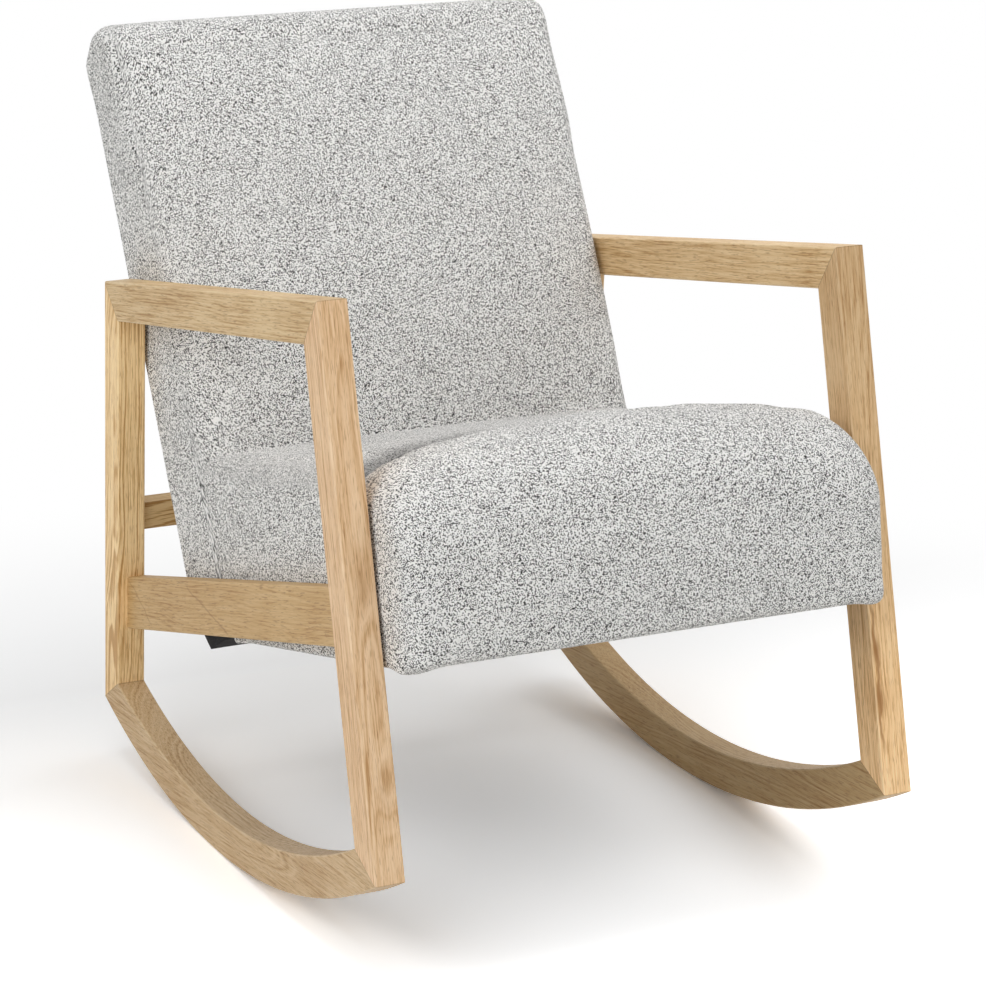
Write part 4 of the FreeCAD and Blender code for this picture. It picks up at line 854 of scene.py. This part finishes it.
# %% [markdown]
# ## Laying the cloth
# The wrap of the cover runs from the underside over the front and the top to the rear; the
# two sides are panels of their own. So the map follows the outline of the side view on the
# wrap, rolls over the rounded edge, and lies flat on the sides. The seam between them runs
# along the rounded edge, and each point keeps how near it lies to that seam.

# %% Cloth map
SEAM_INSIDE = 0.06
SEAM_WIDTH = 0.010
SIDE_PANEL_AT, SIDE_PANEL_PULL = 1.7, 0.55
# Place and reach, along the seat, of the painted shade behind the front roll.
SEAT_SHADE_AT, SEAT_SHADE_REACH = 0.172, 0.030


def lay_cloth(made, cut, rounding):
    """Gives a piece its weave map, in metres, and its seams. Cut is the angle where the wrap starts."""
    mesh = made.data
    x, along, up = points_of(made).T
    middle = np.abs(x) < 0.012
    heart = (np.mean([along.min(), along.max()]), np.mean([up.min(), up.max()]))
    angle = (np.arctan2(up - heart[1], along - heart[0]) - cut) % (2 * math.pi)
    steps = np.linspace(0, 2 * math.pi, 361)
    order = np.argsort(angle[middle])
    reach = np.hypot(along - heart[0], up - heart[1])
    outline = np.interp(steps, angle[middle][order], reach[middle][order], period=2 * math.pi)
    ends = np.stack([outline * np.cos(steps + cut), outline * np.sin(steps + cut)], 1)
    run = np.concatenate([[0], np.cumsum(np.hypot(*np.diff(ends, axis=0).T))])
    wrap = np.interp(angle, steps, run)
    past = np.arcsin(np.clip((np.abs(x) - HALF_WIDTH + rounding) / rounding, 0, 1))
    rolled = np.sign(x) * (np.minimum(np.abs(x), HALF_WIDTH - rounding) + rounding * past)
    corner_of = np.zeros(len(mesh.loops), np.int32)
    mesh.loops.foreach_get("vertex_index", corner_of)
    sizes = np.zeros(len(mesh.polygons), np.int32)
    mesh.polygons.foreach_get("loop_total", sizes)
    starts = np.concatenate([[0], np.cumsum(sizes)[:-1]])
    face_middle = np.add.reduceat(np.abs(x)[corner_of], starts) / sizes
    on_side = np.repeat(face_middle > HALF_WIDTH - SEAM_INSIDE * rounding, sizes)
    run_here = wrap[corner_of]
    jump = run_here - run_here[np.repeat(starts, sizes)]
    run_here = run_here - np.round(jump / run[-1]) * run[-1]
    across = np.where(on_side, SIDE_PANEL_PULL * along[corner_of] + SIDE_PANEL_AT, rolled[corner_of])
    upward = np.where(on_side, up[corner_of], run_here)
    layer = mesh.uv_layers.new(name="weave")
    layer.data.foreach_set("uv", np.stack([across, upward], 1).astype(np.float32).ravel())
    off_seam = np.abs(past - math.asin(1 - SEAM_INSIDE)) * rounding
    point_data(made, "seam", np.clip(1 - off_seam / SEAM_WIDTH, 0, 1))
    print(made.name, "wrap runs", round(float(run[-1]), 3), "m round, faces", len(mesh.polygons))


for piece, cut, rounding in ((seat, -math.pi / 2 - 0.4, EDGE_ROUNDING), (back, -math.pi / 2, 0.017)):
    modified(piece, "SUBSURF", levels=1, render_levels=1)
    piece.data.shade_smooth()
    x, along, up = points_of(piece).T
    # Painted shade: the seat's cloth is darkened just behind the front roll, from nothing in the middle to most
    # towards the sides; the back gets none.
    painted_seat_shade = np.exp(-(((along - SEAT_SHADE_AT) / SEAT_SHADE_REACH) ** 2)) * ease(up, 0.15, 0.18) * (piece is seat)
    point_data(piece, "painted_seat_shade", painted_seat_shade * ease(np.abs(x), 0.0, 0.20) * (1 - ease(np.abs(x), 0.235, 0.258)))
    dress(piece, cover_cloth)
    lay_cloth(piece, cut, rounding)

# %% [markdown]
# ## Room for the boards
# A cushion is not solid: boards, springs and webbing sit inside it. A block the size of that
# room is cut out of each finished form, so the padding closes round the frame like a shell.


# %% Hollows
def hollowed(made, low, high):
    """Cuts a block out of a piece, in the frame the piece is in."""
    form = bmesh.new()
    bmesh.ops.create_cube(form, size=1.0)
    for corner in form.verts:
        corner.co = Vector([high[i] if corner.co[i] > 0 else low[i] for i in range(3)])
    core = new_piece("core", mesh_of(form, "core"))
    modified(made, "BOOLEAN", operation="DIFFERENCE", solver="MANIFOLD", object=core)
    bpy.data.objects.remove(core)
    print(made.name, "hollowed to", len(made.data.polygons), "faces")


hollowed(seat, (-0.2606, 0.0156, -0.05), (0.2606, 0.60, 0.1443))
hollowed(back, (-0.2386, 0.0521, -0.30), (0.2386, 0.20, 0.4956))
hollowed(back, (-0.2386, -0.10, -0.30), (0.2386, 0.06, -0.0584))
for piece, frame_of_body in ((seat, SEAT_FRAME), (back, BACK_FRAME)):
    piece.data.transform(frame_of_body)
    piece.data.set_sharp_from_angle(angle=math.radians(50))

# %% Seat and back are in
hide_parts("seat_cover", "seat_foam")
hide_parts("back_cover", "back_foam")
for piece, fill in ((seat, 0.9), (back, 0.9)):
    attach(piece, "root")
print("cushions ride on", "root")

# %% [markdown]
# ## Flat cloths
# Five cloths are stretched flat on the frame: the outside panel of the back, the black cloth
# round its foot, the dust cloth under the seat, the burlap over the springs and the webbing
# behind the back foam. Each is a fine grid with a little life in it, given its true thickness.


# %% Grids of cloth
def rounded_top(x, t, half, top, radius):
    """Draws x in where a panel's upper corners are rounded."""
    past = min(max(t - top + radius, 0.0), radius)
    return x * (half - radius + math.sqrt(radius * radius - past * past)) / half


def softly_shaded(made, degrees):
    """Smooth shading, with a crisp line where the surface turns by more than the degrees."""
    made.data.shade_smooth()
    made.data.set_sharp_from_angle(angle=math.radians(degrees))


def grid_cloth(name, frame_of_body, low, high, level, squares_of, lift, thickness):
    """A sheet in a body frame: x and one more way from low to high.

    Level gives the third way, and lift how far the sheet's middle swells.
    """
    form = bmesh.new()
    wide, long = squares_of
    size = (high[0] - low[0], high[1] - low[1])
    rows = []
    for j in range(long + 1):
        t = j / long
        row = []
        for i in range(wide + 1):
            s = i / wide
            place = (low[0] + s * size[0], low[1] + t * size[1])
            row.append(form.verts.new(level(*place, lift * 16 * s * (1 - s) * t * (1 - t))))
        rows.append(row)
    mapped = form.loops.layers.uv.new("weave")
    for j in range(long):
        for i in range(wide):
            face = form.faces.new((rows[j][i], rows[j][i + 1], rows[j + 1][i + 1], rows[j + 1][i]))
            for loop, (a, b) in zip(face.loops, ((0, 0), (1, 0), (1, 1), (0, 1))):
                loop[mapped].uv = (low[0] + (i + a) / wide * size[0], low[1] + (j + b) / long * size[1])
    form.transform(frame_of_body)
    made = modified(new_piece(name, mesh_of(form, name)), "SOLIDIFY", thickness=thickness, offset=0.0)
    softly_shaded(made, 50)
    return made


def hang(made, finish, slot, *replaced):
    """Gives a cloth its finish and its place, and hides the CAD nodes that it stands for."""
    dress(made, finish)
    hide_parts(*replaced)
    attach(made, "root")


PANEL_HALF, PANEL_TOP = 0.2600, 0.5020
outside = grid_cloth(
    "outside_back_panel", BACK_FRAME, (-PANEL_HALF, -0.1523), (PANEL_HALF, PANEL_TOP),
    lambda x, t, lift: (rounded_top(x, t, PANEL_HALF, PANEL_TOP, 0.021), 0.1150 + lift, t), (66, 80), 0.0016, 0.0018)
hang(outside, cover_cloth, "woven_cover", "back_outside_panel")
print("outside panel", len(outside.data.polygons), "faces")


# %% Black dust cloth recipe
def felted(name, low, high, dots):
    """Thin pressed cloth: matted fibres with a grid of small pressed dots."""
    finish, shader, here = new_finish(name)
    fibre = noise(here, 1500.0, 3.0)
    cloud = noise(here, 60.0, 2.0)
    mark = ramp(cells(here, dots), 0.15, 0.30, 1.0, 0.0)
    colour = blend(fibre * 0.6 + cloud * 0.4, low, high)
    rough = ramp(mark, 0.0, 1.0, 0.88, 0.6)
    join(shader, colour, rough, fibre - mark, 0.5, 0.0003, shine=0.25)
    return finish


black_felt = felted("black_felt", paint(16, 16, 17), paint(48, 48, 50), 480.0)
dust = grid_cloth("dust_cloth", SEAT_FRAME, (-0.260, 0.022), (0.260, 0.4801),
                  lambda x, u, lift: (x, u, -0.0006 - lift), (60, 54), 0.0035, 0.0009)
hang(dust, black_felt, "black_dust_cloth", "seat_dust_cover")
print("dust cloth", len(dust.data.polygons), "faces")


# %% Foot of the back
def skin_of(name, pattern, longest):
    """The outside of a thin CAD cloth as a fine skin, for a cloth that goes round corners."""
    form = bmesh.new()
    form.from_mesh(nodes[pattern].data)
    bmesh.ops.remove_doubles(form, verts=form.verts, dist=TOUCHING)
    bmesh.ops.recalc_face_normals(form, faces=form.faces)
    bmesh.ops.dissolve_limit(form, angle_limit=math.radians(1.0), verts=form.verts, edges=form.edges)
    bmesh.ops.triangulate(form, faces=form.faces)
    for _ in range(7):
        long_ones = [e for e in form.edges if e.calc_length() > longest]
        if not long_ones:
            break
        bmesh.ops.subdivide_edges(form, edges=long_ones, cuts=1)
        bmesh.ops.triangulate(form, faces=[f for f in form.faces if len(f.verts) > 3])
    mesh = mesh_of(form, name)
    mesh.validate()
    made = new_piece(name, mesh)
    points = points_of(made)
    ripple = np.sin(points[:, 0] * 61.0) * np.sin(points[:, 0] * 23.0 + points[:, 1] * 90.0)
    set_points(made, points + read_points(made, "normal") * (0.0002 * ripple)[:, None])
    softly_shaded(made, 40)
    return made


foot = skin_of("back_foot_cloth", "back_foot_cover", 0.012)
hang(foot, black_felt, "black_dust_cloth", "back_foot_cover")
print("foot cloth", len(foot.data.polygons), "faces")


# %% Burlap
def coarse_weave(name, low, high, pitch, rib):
    """Open plain weave on the piece's own map. Rib makes every second yarn stand out."""
    finish, shader, cloth = new_finish(name, "weave")
    yarns = scaled(cloth, 1.0 / pitch)
    wave_across, wave_along = waves(yarns)
    height = abs(wave_across) * (1.0 - rib) + abs(wave_along)
    slub = noise(yarns, 0.35, 3.0, flat=True)
    shade = ramp((height * 0.35 + slub) * 0.8, 0.25, 0.95, 0.0, 1.0)
    rough = ramp(slub, 0.3, 0.7, 0.95, 0.8)
    join(shader, blend(shade, low, high), rough, height, 0.7, 0.0006, shine=0.15)
    return finish


jute = coarse_weave("jute", paint(128, 98, 62), paint(196, 164, 118), 0.0024, 0.0)
burlap = grid_cloth("burlap", SEAT_FRAME, (-0.2602, 0.0162), (0.2602, 0.5012),
                    lambda x, u, lift: (x, u, 0.1430 - lift), (52, 48), 0.0004, 0.0012)
hang(burlap, jute, "burlap", "seat_burlap")
print("burlap", len(burlap.data.polygons), "faces")

# %% [markdown]
# ## Rows of like parts
# Six straps cross the back and a row of staples runs round the dust cloth. Both are one part
# repeated at even steps, which is what Geometry Nodes are for: a line of points, a copy of the
# part on each, a small chance twist with a fixed seed, and the finish at the end. The copies
# are made real, because only real faces are kept when the chair is exported.

# %% Row tree
ROW_INPUTS = {
    "Part": "Geometry", "Count": "Int", "Start": "Vector", "Step": "Vector", "Axis": "Vector",
    "Twist": "Float", "Seed": "Int", "Finish": "Material",
}


def row_tree():
    """Copies the piece along a line of points."""
    tree = bpy.data.node_groups.new("row_of_parts", "GeometryNodeTree")
    sockets = {}
    for name, kind in ROW_INPUTS.items():
        made = tree.interface.new_socket(name, in_out="INPUT", socket_type=f"NodeSocket{kind}")
        sockets[name] = made.identifier
    tree.interface.new_socket("Row", in_out="OUTPUT", socket_type="NodeSocketGeometry")
    given = tree.nodes.new("NodeGroupInput").outputs
    line = add(tree, "GeometryNodeMeshLine",
               {"Count": given["Count"], "Start Location": given["Start"], "Offset": given["Step"]})
    chance = add(tree, "FunctionNodeRandomValue", {"Seed": given["Seed"]}, data_type="FLOAT")
    put(chance.inputs[2], Value(given["Twist"]) * -1.0)
    put(chance.inputs[3], given["Twist"])
    turn = add(tree, "FunctionNodeAxisAngleToRotation", {"Axis": given["Axis"], "Angle": chance.outputs[1]})
    copies = add(tree, "GeometryNodeInstanceOnPoints",
                 {"Points": line.outputs[0], "Instance": given["Part"], "Rotation": turn.outputs[0]})
    real = add(tree, "GeometryNodeRealizeInstances", {"Geometry": copies.outputs[0]})
    finished = add(tree, "GeometryNodeSetMaterial", {"Geometry": real.outputs[0], "Material": given["Finish"]})
    put(tree.nodes.new("NodeGroupOutput").inputs[0], finished.outputs[0])
    return tree, sockets


ROW_TREE, ROW_SOCKETS = row_tree()


def row_of(name, part_mesh, **given):
    """One piece: the part repeated in a row. The row tree's other inputs are given by their names."""
    made = new_piece(name, part_mesh.copy())
    rows = made.modifiers.new("row", "NODES")
    rows.node_group = ROW_TREE
    for socket, value in given.items():
        rows[ROW_SOCKETS[socket]] = value
    return finished_mesh(made)


print("row tree has inputs", list(ROW_SOCKETS))

# %% Webbing across the back
STRAP_HALF, STRAP_HIGH = 0.2382, 0.049
STRAP_STEP = 0.09904

strap = grid_cloth("strap", Matrix.Identity(4), (-STRAP_HALF, 0.0), (STRAP_HALF, STRAP_HIGH),
                   lambda x, t, lift: (x, lift, t), (60, 6), 0.0, 0.0014)
rubber_strap = coarse_weave("rubber_strap", paint(34, 33, 32), paint(92, 88, 80), 0.0020, 0.6)
straps = row_of("back_straps", strap.data, Count=6, Start=(0.0, 0.05325, -0.05), Step=(0.0, 0.0, STRAP_STEP),
                Axis=(0.0, 1.0, 0.0), Twist=0.0, Seed=1, Finish=rubber_strap)
straps.data.transform(BACK_FRAME)
bpy.data.objects.remove(strap)
hang(straps, rubber_strap, "webbing", "back_webbing")
print("straps", len(straps.data.polygons), "faces")


# %% Staples round the dust cloth
def staple_mesh(long, leg, wire):
    """A staple seen from below: a flat crown and two short legs that go up into the board."""
    form = bmesh.new()
    run = [(-long / 2, leg), (-long / 2, 0.0), (long / 2, 0.0), (long / 2, leg)]
    half = wire / 2
    rings = []
    for i, (x, z) in enumerate(run):
        lean = half if i in (1, 2) else 0.0
        side = -half if i < 2 else half
        rings.append([form.verts.new(place) for place in (
            (x + side, -half, z - lean), (x + side, half, z - lean),
            (x - side, half, z + lean), (x - side, -half, z + lean))])
    for low, high in zip(rings, rings[1:]):
        for k in range(4):
            form.faces.new((low[k], low[(k + 1) % 4], high[(k + 1) % 4], high[k]))
    form.faces.new(rings[0])
    form.faces.new(rings[-1])
    bmesh.ops.recalc_face_normals(form, faces=form.faces)
    return mesh_of(form, "staple")


lengthways = staple_mesh(0.010, 0.004, 0.0009)
crossways = lengthways.copy()
crossways.transform(Matrix.Rotation(math.pi / 2, 4, "Z"))
UNDER_CLOTH = -0.0019
STAPLE_TWIST = 0.12
rows = []
for side, part, count, x, along, step, seed in (
        ("front", lengthways, 13, -0.240, 0.030, (0.040, 0.0, 0.0), 3),
        ("rear", lengthways, 13, -0.240, 0.472, (0.040, 0.0, 0.0), 4),
        ("left", crossways, 11, -0.251, 0.060, (0.0, 0.0385, 0.0), 5),
        ("right", crossways, 11, 0.251, 0.060, (0.0, 0.0385, 0.0), 6)):
    rows.append(row_of(f"staples_{side}", part, Count=count, Start=(x, along, UNDER_CLOTH), Step=step,
                       Axis=(0.0, 0.0, 1.0), Twist=STAPLE_TWIST, Seed=seed, Finish=bright_zinc))
joined = bmesh.new()
for made in rows:
    joined.from_mesh(made.data)
joined.transform(SEAT_FRAME)
staples = new_piece("dust_cloth_staples", mesh_of(joined, "dust_cloth_staples"))
for made in rows:
    bpy.data.objects.remove(made)
staples.data.materials.append(bright_zinc)
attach(staples, "root")
print("staples", len(staples.data.polygons), "faces")
